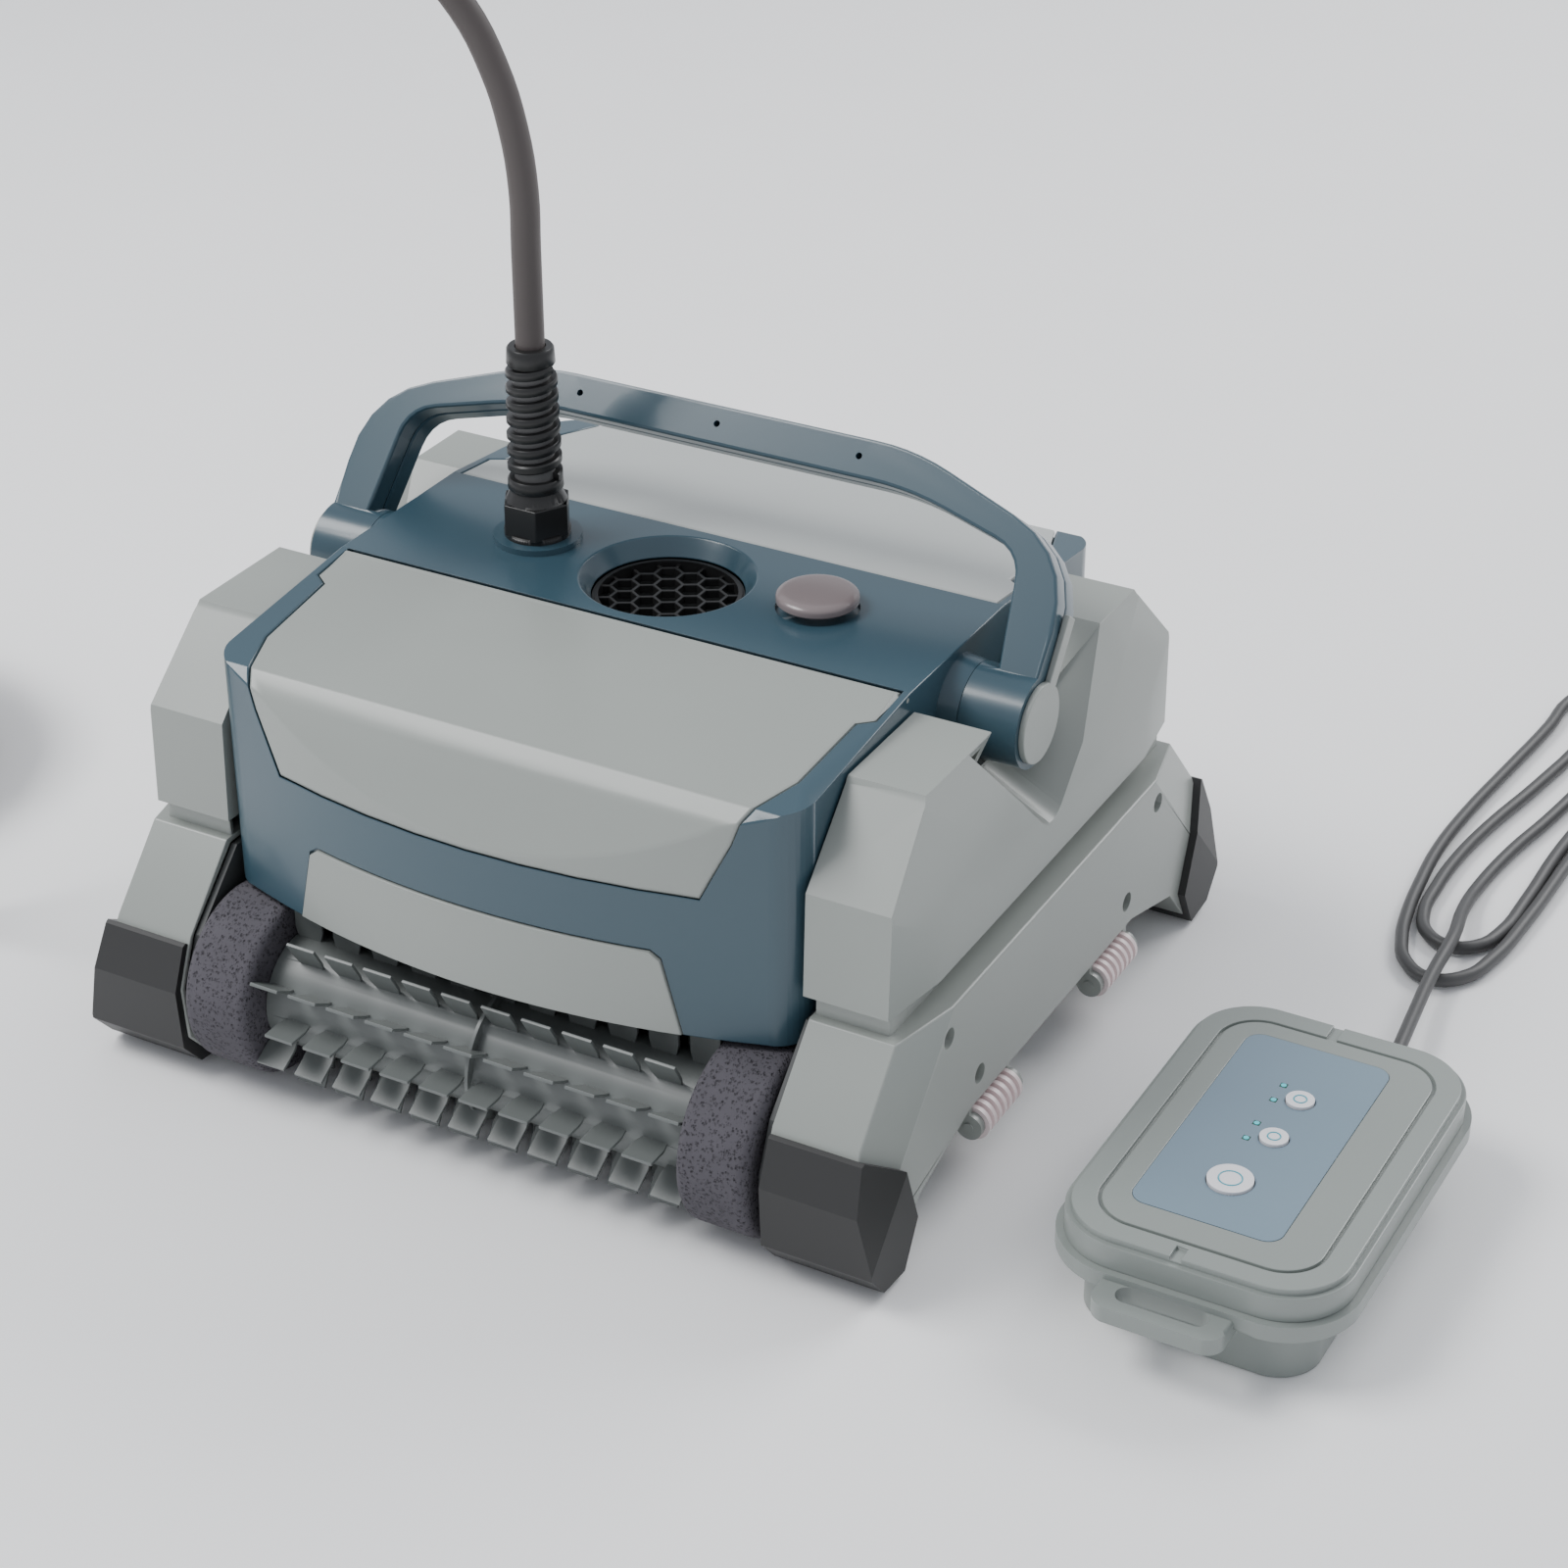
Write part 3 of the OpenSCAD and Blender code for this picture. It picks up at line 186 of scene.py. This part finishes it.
def moulded_plastic(name, colour, roughness, grain_depth=0.00002, spread=0.05, coat=0.0):
    """Moulded plastic: a fine mould grain, faint clouding, a roughness that wanders a little."""
    finish = Finish(name, colour, Coat_Weight=coat, Coat_Roughness=0.15)
    cloud = finish.grain(9, 3)
    clouded = finish.mix(cloud, shade(colour, 1 - spread), shade(colour, 1 + spread))
    finish.set("Base Color", clouded)
    finish.set("Roughness", cloud * 0.08 + (roughness - 0.04))
    finish.bump(finish.grain(2600, 2), 0.35, grain_depth)
    return finish.material


def open_foam(name, colour):
    """Sponge: open pores of two sizes between paler cell walls, the pores painted dark as painted
    shade in their hollows.
    """
    finish = Finish(name, colour, Specular_IOR_Level=0.2)
    small = finish.pores(900)
    large = finish.pores(420)
    depth = finish.ramp(small * 0.6 + large * 0.7, (0.15, (0, 0, 0)), (0.62, (1, 1, 1)))
    walls = finish.mix(finish.grain(60, 3), shade(colour, 0.85), shade(colour, 1.2))
    # Where the pores are deep the colour drops to 0.28 of the foam's: painted shade inside the
    # pores.
    finish.set("Base Color", finish.mix(depth, shade(colour, 0.28), walls))
    finish.set("Roughness", finish.grain(60, 3) * 0.08 + 0.86)
    finish.bump(depth, 0.8, 0.0011)
    return finish.material


FOAM = open_foam("pva_foam", (0.085, 0.080, 0.092))
BLUE_ABS = moulded_plastic("slate_blue_abs", (0.030, 0.068, 0.092), 0.3, coat=0.3)
GREY_ABS = moulded_plastic("warm_grey_abs", (0.285, 0.305, 0.285), 0.36, coat=0.15)
LIGHT_ABS = moulded_plastic("light_grey_abs", (0.42, 0.44, 0.43), 0.4)
BOX_ABS = moulded_plastic("control_box_abs", (0.235, 0.26, 0.245), 0.34, coat=0.15)
BLACK_NYLON = moulded_plastic("black_nylon", (0.012, 0.012, 0.012), 0.35)
RELIEF_GREY = moulded_plastic("relief_grey", (0.09, 0.09, 0.09), 0.4)
BUMPER_RUBBER = moulded_plastic("bumper_rubber", (0.02, 0.02, 0.02), 0.5)
CHASSIS_ABS = moulded_plastic("chassis_abs", (0.05, 0.053, 0.053), 0.5)
BRUSH_PVC = moulded_plastic("brush_pvc", (0.13, 0.142, 0.137), 0.38)
BUTTON_MAUVE = moulded_plastic("button_mauve", (0.20, 0.165, 0.165), 0.26, coat=0.2)
ROLLER_ACETAL = moulded_plastic("roller_acetal", (0.78, 0.66, 0.66), 0.35)
CABLE_JACKET = moulded_plastic("cable_jacket", (0.075, 0.063, 0.06), 0.55)
LEAD_JACKET = moulded_plastic("lead_jacket", (0.06, 0.06, 0.06), 0.45)
LABEL_FILM = moulded_plastic("label_film", (0.17, 0.24, 0.30), 0.32)
CYAN_PRINT = moulded_plastic("cyan_print", (0.03, 0.33, 0.42), 0.35)
CYAN_LIGHT = moulded_plastic("cyan_light", (0.10, 0.62, 0.72), 0.25)
KEY_WHITE = moulded_plastic("key_white", (0.75, 0.75, 0.78), 0.3)
BASKET = moulded_plastic("filter_basket_plastic", (0.5, 0.53, 0.5), 0.45)
CIRCUIT_GREEN = moulded_plastic("circuit_board", (0.02, 0.10, 0.045), 0.4)
STEEL = moulded_plastic("steel", (0.55, 0.55, 0.57), 0.3)

NODE_FINISHES = {
    BLUE_ABS: ["top_shell", "handle_front_shell", "handle_rear_shell"],
    GREY_ABS: ["filter_lid", "front_nose_panel", "rear_nose_panel", "side_cover_left",
               "side_cover_right", "side_skirt_left", "side_skirt_right", "hub_caps",
               "roller_brackets"],
    LIGHT_ABS: ["rear_cover", "impeller"],
    CHASSIS_ABS: ["bottom_plate", "side_frames", "outlet_duct", "pump_motor", "drive_motor_front",
                  "drive_motor_rear", "brush_core_front", "brush_core_rear"],
    BUMPER_RUBBER: ["front_bumpers", "rear_bumpers", "drive_belts", "intake_flap_front",
                    "intake_flap_rear"],
    BLACK_NYLON: ["outlet_grille", "cable_gland", "strain_relief", "cable_connector",
                  "lead_gland", "mains_plug"],
    BRUSH_PVC: ["brush_fins_front", "brush_fins_rear"],
    FOAM: ["foam_rings_front", "foam_rings_rear"],
    BASKET: ["filter_basket"],
    STEEL: ["hub_pins", "button_spring", "side_screws", "motor_pulley_front",
            "motor_pulley_rear", "power_supply"],
    BUTTON_MAUVE: ["top_button"],
    ROLLER_ACETAL: ["guide_roller_front_left", "guide_roller_front_right",
                    "guide_roller_rear_left", "guide_roller_rear_right"],
    BOX_ABS: ["control_box_base", "control_box_cover"],
    LABEL_FILM: ["control_label"],
    KEY_WHITE: ["power_button", "mode_button", "time_button"],
    CIRCUIT_GREEN: ["control_board"],
}
for material, names in NODE_FINISHES.items():
    for name in names:
        mesh = frame["nodes"][name].data
        mesh.materials.clear()
        mesh.materials.append(material)


# ---------- tools for making pieces ----------

RECORD = frame["record"]
BODY_OF = {name: body for body, names in RECORD["behaviour"]["bodies"].items()
           for name in names}


def only(piece):
    """Selects this piece alone and makes it the active one."""
    bpy.ops.object.select_all(action="DESELECT")
    piece.select_set(True)
    bpy.context.view_layer.objects.active = piece


def settle(piece, name, material):
    """Names a piece, puts its place into its mesh and gives it its material."""
    only(piece)
    piece.name = name
    bpy.ops.object.transform_apply(location=True, rotation=True, scale=True)
    piece.data.materials.clear()
    piece.data.materials.append(material)
    return piece


def stands_for(piece, node):
    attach(piece, BODY_OF[node])
    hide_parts(node)


def rides_with(piece, node):
    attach(piece, BODY_OF[node])


def copy_of(node, name):
    """A copy of a CAD node as clean faces, open in edit mode."""
    piece = new_piece(name, frame["nodes"][node].data.copy())
    bpy.ops.object.mode_set(mode="EDIT")
    bpy.ops.mesh.select_all(action="SELECT")
    bpy.ops.mesh.remove_doubles(threshold=2 * WELD)
    bpy.ops.mesh.dissolve_limited(angle_limit=math.radians(0.6))
    return piece


def new_piece(name, mesh):
    piece = bpy.data.objects.new(name, mesh)
    bpy.context.scene.collection.objects.link(piece)
    only(piece)
    return piece


def face_outwards():
    """Turns all faces of the piece in edit mode outwards, and leaves edit mode."""
    bpy.ops.mesh.select_all(action="SELECT")
    bpy.ops.mesh.normals_make_consistent(inside=False)
    bpy.ops.object.mode_set(mode="OBJECT")


def pick_edges(piece, wanted):
    """Selects the edges for which wanted(edge) holds."""
    bpy.ops.mesh.select_mode(type="EDGE")
    bpy.ops.mesh.select_all(action="DESELECT")
    mesh = bmesh.from_edit_mesh(piece.data)
    for edge in mesh.edges:
        edge.select_set(wanted(edge))
    bmesh.update_edit_mesh(piece.data)


def outer_corner(edge, shortest, sharper_than=24):
    bends_out = edge.is_manifold and edge.calc_face_angle_signed() > math.radians(sharper_than)
    return bends_out and edge.calc_length() > shortest * MM


def smooth(piece, angle=28):
    only(piece)
    bpy.ops.object.shade_smooth_by_angle(angle=math.radians(angle))


def rounded_shell(node, radius, shortest, clamp=False, segments=2):
    """Stands for a CAD shell: its outer corners are rounded as a mould rounds them."""
    piece = copy_of(node, node + "_shell")
    pick_edges(piece, lambda edge: outer_corner(edge, shortest))
    bpy.ops.mesh.bevel(offset=radius * MM, segments=segments, profile=0.5, clamp_overlap=clamp)
    bpy.ops.mesh.select_all(action="SELECT")
    bpy.ops.mesh.remove_doubles(threshold=WELD)
    bpy.ops.object.mode_set(mode="OBJECT")
    smooth(piece)
    even = piece.modifiers.new("even_shading", "WEIGHTED_NORMAL")
    even.keep_sharp = True
    stands_for(piece, node)
    return piece


TURNED_STEPS = 64


def spun(name, outline, centre, material):
    """A turned piece: an outline of radius and height points, spun about an upright axis."""
    mesh = bpy.data.meshes.new(name)
    middle_x, middle_y, low = centre
    points = [(middle_x + radius * MM, middle_y, low + height * MM) for radius, height in outline]
    mesh.from_pydata(points, [(i, i + 1) for i in range(len(points) - 1)], [])
    piece = new_piece(name, mesh)
    bpy.ops.object.mode_set(mode="EDIT")
    bpy.ops.mesh.select_all(action="SELECT")
    bpy.ops.mesh.spin(steps=TURNED_STEPS, angle=2 * math.pi, center=centre, axis=(0, 0, 1))
    bpy.ops.mesh.select_all(action="SELECT")
    bpy.ops.mesh.remove_doubles(threshold=WELD)
    face_outwards()
    mesh.materials.append(material)
    smooth(piece, 40)
    return piece


# Corner radius and length of the shortest edge that is rounded, in millimetres,
# and True where the rounding has to stop before it meets itself
SHELL_CORNERS = {
    "top_shell": (0.8, 3), "filter_lid": (1.4, 5), "rear_cover": (1.4, 5),
    "front_nose_panel": (0.5, 3), "rear_nose_panel": (0.5, 3),
    "side_cover_left": (1.2, 9, True), "side_cover_right": (1.2, 9, True),
    "side_skirt_left": (0.9, 8), "side_skirt_right": (0.9, 8),
    "front_bumpers": (1.0, 6, True), "rear_bumpers": (1.0, 6, True),
    "handle_front_shell": (1.6, 4), "handle_rear_shell": (1.6, 4), "hub_caps": (0.6, 1),
    "cable_gland": (0.6, 1), "roller_brackets": (0.6, 2),
    "control_box_base": (1.6, 3), "control_box_cover": (0.5, 1),
    "power_button": (0.5, 1), "mode_button": (0.5, 1), "time_button": (0.5, 1),
    "side_screws": (0.3, 1), "cable_connector": (1.0, 1),
    "lead_gland": (0.8, 1), "mains_plug": (1.0, 1),
    "outlet_grille": (0.3, 2), "bottom_plate": (0.6, 5),
    "brush_fins_front": (0.35, 1), "brush_fins_rear": (0.35, 1),
    "guide_roller_front_left": (0.6, 1), "guide_roller_front_right": (0.6, 1),
    "guide_roller_rear_left": (0.6, 1), "guide_roller_rear_right": (0.6, 1),
}
SHELLS = {node: rounded_shell(node, *corner) for node, corner in SHELL_CORNERS.items()}


def top_button():
    """A mushroom cap with a soft edge on its stem."""
    low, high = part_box("top_button")
    radius = (high.x - low.x) / 2 / MM
    top = (high.z - low.z) / MM
    cap = [(5, 0), (5, top - 5.5), (radius - 0.8, top - 5.5), (radius, top - 4.6)]
    edge = []
    for i in range(7):
        a = math.pi / 2 * i / 6
        edge.append((radius - 2.6 * (1 - math.cos(a)) - 1.4 * math.sin(a) ** 2,
                     top - 2.6 + 2.6 * math.sin(a)))
    crown = [(radius - 6, top + 0.1), (radius - 12, top + 0.2), (0, top + 0.2)]
    place = (middle("top_button").x, middle("top_button").y, low.z)
    piece = spun("button_cap", [(0, 0)] + cap + edge + crown, place, BUTTON_MAUVE)
    stands_for(piece, "top_button")


def strain_relief():
    """A grey tube with a black ribbon wound round it, between two collars."""
    low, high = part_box("strain_relief")
    place = (middle("strain_relief").x, middle("strain_relief").y, low.z)
    height = (high.z - low.z) / MM
    bore = CABLE_D / MM / 2 + 0.4
    tube = [(bore, 1), (bore + 2.6, 1), (bore + 1.6, height - 1), (bore, height - 1), (bore, 1)]
    foot = [(bore, 0), (bore + 5.4, 0), (bore + 6, 0.8), (bore + 5.8, 5), (bore + 5, 6),
            (bore, 6), (bore, 0)]
    collar = [(bore, height - 9), (bore + 3.6, height - 9), (bore + 4.2, height - 8),
              (bore + 3.8, height - 1), (bore + 3, height), (bore, height), (bore, height - 9)]
    parts = [spun("relief_tube", tube, place, RELIEF_GREY),
             spun("relief_foot", foot, place, BLACK_NYLON),
             spun("relief_collar", collar, place, BLACK_NYLON),
             relief_ribbon(place, bore, height)]
    for part in parts[1:]:
        rides_with(part, "strain_relief")
    stands_for(parts[0], "strain_relief")


def relief_ribbon(place, bore, height):
    """The wound ribbon: a rounded section carried round a helix that tapers upwards."""
    turns = 7
    steps = 36
    rise = height - 17
    section = [(0.2, -2.4), (3.9, -2.2), (4.6, -1.4), (4.6, 1.4), (3.9, 2.2), (0.2, 2.4)]
    points = []
    for i in range(turns * steps + 1):
        share = i / (turns * steps)
        angle = 2 * math.pi * i / steps
        for out, up in section:
            radius = (bore + 1.2 + out * (1 - 0.22 * share)) * MM
            points.append((place[0] + radius * math.cos(angle),
                           place[1] + radius * math.sin(angle),
                           place[2] + (7 + rise * share + up) * MM))
    sides = len(section)
    last = turns * steps * sides
    faces = [(i + k, i + (k + 1) % sides, i + sides + (k + 1) % sides, i + sides + k)
             for i in range(0, last, sides) for k in range(sides)]
    faces += [tuple(range(sides)), tuple(last + k for k in reversed(range(sides)))]
    mesh = bpy.data.meshes.new("relief_ribbon")
    mesh.from_pydata(points, [], faces)
    mesh.materials.append(BLACK_NYLON)
    piece = new_piece("relief_ribbon", mesh)
    bpy.ops.object.mode_set(mode="EDIT")
    face_outwards()
    smooth(piece, 40)
    return piece


FOAM_GAP = 0.4 * MM
FOAM_ON_CORE = 0.2 * MM
FOAM_RIM = 5 * MM


def foam_ring(name, near, far, axis_y, axis_z, radius, inner):
    """A sponge ring with soft rims, between two places on the brush's axis."""
    bpy.ops.object.select_all(action="DESELECT")
    bpy.ops.mesh.primitive_cylinder_add(vertices=72, radius=radius, depth=far - near,
                                        end_fill_type="NGON",
                                        location=((near + far) / 2, axis_y, axis_z),
                                        rotation=(0, math.pi / 2, 0))
    piece = settle(bpy.context.object, name, FOAM)
    bpy.ops.object.mode_set(mode="EDIT")
    bpy.ops.mesh.select_mode(type="FACE")
    bpy.ops.mesh.select_all(action="DESELECT")
    mesh = bmesh.from_edit_mesh(piece.data)
    for face in mesh.faces:
        face.select_set(abs(face.normal.x) > 0.9)
    bmesh.update_edit_mesh(piece.data)
    bpy.ops.mesh.inset(thickness=radius - inner)
    bpy.ops.mesh.bridge_edge_loops(type="SINGLE")

    def on_rim(edge):
        one, other = edge.verts[0].co, edge.verts[1].co
        off_axis = math.hypot(one.y - axis_y, one.z - axis_z)
        sharp = edge.is_manifold and edge.calc_face_angle() > 1
        return sharp and abs(one.x - other.x) < 10 * WELD and off_axis > radius * 0.9

    pick_edges(piece, on_rim)
    bpy.ops.mesh.bevel(offset=FOAM_RIM, segments=5, profile=0.5, clamp_overlap=False)
    face_outwards()
    smooth(piece, 50)
    return piece


def foam_rings(node):
    """The two sponge rings of a brush, one on each side of its fins."""
    low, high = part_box(node)
    core_low, core_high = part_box(node.replace("foam_rings", "brush_core"))
    fins_low, fins_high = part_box(node.replace("foam_rings", "brush_fins"))
    axis_y = (low.y + high.y) / 2
    axis_z = (low.z + high.z) / 2
    radius = (high.z - low.z) / 2
    inner = (core_high.z - core_low.z) / 2 + FOAM_ON_CORE
    left = foam_ring(f"{node}_left", low.x + FOAM_GAP, fins_low.x - FOAM_GAP,
                     axis_y, axis_z, radius, inner)
    stands_for(left, node)
    right = foam_ring(f"{node}_right", fins_high.x + FOAM_GAP, high.x - FOAM_GAP,
                      axis_y, axis_z, radius, inner)
    rides_with(right, node)


LIGHT_X = -10
LIGHT_Y = (-4.1, 8.4, 28.4, 40.9)
KEY_RINGS = {"power_button": 5.2, "mode_button": 2.9, "time_button": 2.9}


def panel_marks():
    """Cyan indicator lights in the label's windows, and a cyan ring printed on each key."""
    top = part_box("control_box_cover")[1].z / MM
    for i, y in enumerate(LIGHT_Y):
        bpy.ops.mesh.primitive_cylinder_add(vertices=20, radius=1.3 * MM, depth=0.8 * MM,
                                            location=on_box(LIGHT_X, y, top - 0.2))
        rides_with(settle(bpy.context.object, f"indicator_{i + 1}", CYAN_LIGHT), "control_label")
    for node, radius in KEY_RINGS.items():
        place = (middle(node).x, middle(node).y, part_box(node)[1].z)
        bpy.ops.mesh.primitive_torus_add(major_radius=radius * MM, minor_radius=0.35 * MM,
                                         major_segments=40, minor_segments=8, location=place)
        rides_with(settle(bpy.context.object, f"{node}_ring", CYAN_PRINT), node)


top_button()
strain_relief()
panel_marks()
foam_rings("foam_rings_front")
foam_rings("foam_rings_rear")


# ---------- cords ----------

CABLE_ROUTE = [(-75, 5, 312), (-75, 5, 340), (-75, 5, 368), (-75, 5, 395), (-78, 3, 425),
               (-85, 0, 453), (-96, -6, 480), (-112, -15, 503), (-131, -26, 523),
               (-154, -38, 538), (-180, -52, 547), (-209, -68, 550), (-238, -84, 547),
               (-264, -98, 538), (-288, -111, 523), (-307, -122, 503), (-322, -130, 480),
               (-332, -135, 453), (-338, -139, 425), (-341, -141, 395), (-342, -142, 360),
               (-342, -142, 325), (-342, -142, 290), (-342, -142, 255), (-342, -142, 220),
               (-342, -142, 185), (-342, -142, 150), (-342, -142, 115), (-344, -143, 83),
               (-352, -147, 53), (-366, -155, 29), (-388, -166, 14), (-412, -175, 8),
               (-438, -181, 7), (-466, -185, 7), (-505, -187, 7), (-543, -187, 7)]
LEAD_ROUTE = [(352, 36, 17), (352, 55, 17), (349, 84, 17), (345, 115, 15), (340, 158, 13),
              (338, 196, 13), (332, 230, 8), (330, 262, 4), (334, 305, 4), (341, 345, 4),
              (348, 400, 4), (352, 450, 4), (351, 478, 4), (344, 496, 4), (331, 502, 4),
              (318, 496, 4), (311, 478, 4), (310, 445, 4), (305, 388, 4), (300, 330, 4),
              (299, 287, 4), (302, 250, 4), (306, 220, 4), (312, 195, 4), (321, 176, 4),
              (336, 167, 4), (350, 175, 4), (358, 198, 4), (362, 240, 4), (364, 310, 4),
              (368, 380, 4), (373, 440, 4), (374, 468, 8), (368, 490, 12), (353, 500, 13),
              (338, 493, 12), (332, 470, 8), (332, 440, 4), (325, 380, 4), (315, 322, 4),
              (311, 283, 4), (311, 250, 4), (314, 222, 4), (322, 206, 4), (335, 200, 4),
              (347, 206, 4), (354, 224, 4), (356, 258, 4), (356, 310, 4), (358, 350, 4),
              (361, 376, 8), (370, 400, 12), (382, 420, 11), (390, 440, 9)]
COIL_MIDDLE = (-543, -68)
COIL_RADIUS = 119
COIL_ROWS = 5
COIL_COLUMNS = 4
TURN_POINTS = 16


def smooth_step(t):
    t = min(1, max(0, t))
    return t * t * (3 - 2 * t)


def coil_lanes():
    """Column and row of each turn: rows run in and out in turn, and the top row has two."""
    lanes = []
    for row in range(COIL_ROWS):
        columns = range(COIL_COLUMNS)
        lanes += [(column, row) for column in (columns if row % 2 == 0 else reversed(columns))]
    return lanes + [(1, COIL_ROWS), (2, COIL_ROWS)]


def coil_turns(first_angle):
    """The coil's turns run clockwise, and each one steps to the next lane over its last quarter."""
    d = CABLE_D / MM
    lanes = coil_lanes()
    points = []
    for turn, (column, row) in enumerate(lanes):
        ahead = lanes[min(turn + 1, len(lanes) - 1)]
        for i in range(TURN_POINTS):
            step = smooth_step((i / TURN_POINTS - 0.72) / 0.28)
            radius = COIL_RADIUS - d * (column + (ahead[0] - column) * step)
            height = d * (0.5 + row + (ahead[1] - row) * step)
            angle = first_angle - 2 * math.pi * i / TURN_POINTS
            points.append((COIL_MIDDLE[0] + radius * math.cos(angle),
                           COIL_MIDDLE[1] + radius * math.sin(angle), height))
    return points


def cord_curve(name, points, diameter, material):
    """A cord through these points: one open smooth spline."""
    data = bpy.data.curves.new(name, "CURVE")
    data.dimensions = "3D"
    data.resolution_u = 4
    data.bevel_depth = diameter / 2
    data.bevel_resolution = 5
    data.use_fill_caps = True
    spline = data.splines.new("BEZIER")
    spline.bezier_points.add(len(points) - 1)
    for knot, point in zip(spline.bezier_points, points):
        knot.co = on_robot(*point)
        knot.handle_left_type = knot.handle_right_type = "AUTO"
    data.materials.append(material)
    piece = bpy.data.objects.new(name, data)
    bpy.context.scene.collection.objects.link(piece)
    return piece


def float_cable():
    first = math.atan2(CABLE_ROUTE[-1][1] - COIL_MIDDLE[1], CABLE_ROUTE[-1][0] - COIL_MIDDLE[0])
    route = CABLE_ROUTE[:-1] + coil_turns(first)
    piece = cord_curve("floating_cable", route, CABLE_D, CABLE_JACKET)
    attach(piece, "robot")
    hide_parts("float_cable", "cable_coil")


def box_lead():
    piece = cord_curve("box_lead", LEAD_ROUTE, LEAD_D, LEAD_JACKET)
    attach(piece, "robot")
    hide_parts("mains_lead")


float_cable()
box_lead()


# ---------- floor and light ----------

def add_floor():
    bpy.ops.mesh.primitive_plane_add(size=12, location=(0, 0, -0.0005))
    floor = bpy.context.object
    floor.name = "floor"
    paint = moulded_plastic("studio_floor", (0.93, 0.93, 0.93), 0.7, spread=0.01)
    floor.data.materials.append(paint)


def add_lamp(name, place, target, size, power):
    lamp = bpy.data.lights.new(name, "AREA")
    lamp.shape = "RECTANGLE"
    lamp.size, lamp.size_y = size
    lamp.energy = power
    stand = bpy.data.objects.new(name, lamp)
    stand.location = place
    aim = Vector(target) - Vector(place)
    stand.rotation_euler = aim.to_track_quat("-Z", "Y").to_euler()
    bpy.context.scene.collection.objects.link(stand)


def add_light():
    world = bpy.data.worlds.new("studio")
    bpy.context.scene.world = world
    world.use_nodes = True
    sky = world.node_tree.nodes["Background"]
    sky.inputs["Color"].default_value = (0.9, 0.93, 1, 1)
    sky.inputs["Strength"].default_value = 0.75
    add_lamp("key_light", (-1.6, -0.9, 2.4), (-0.1, 0, 0.1), (1.6, 1.2), 75)
    add_lamp("rim_light", (0.9, 2.2, 1.9), (0, 0, 0.15), (1.8, 0.9), 45)


add_floor()
add_light()
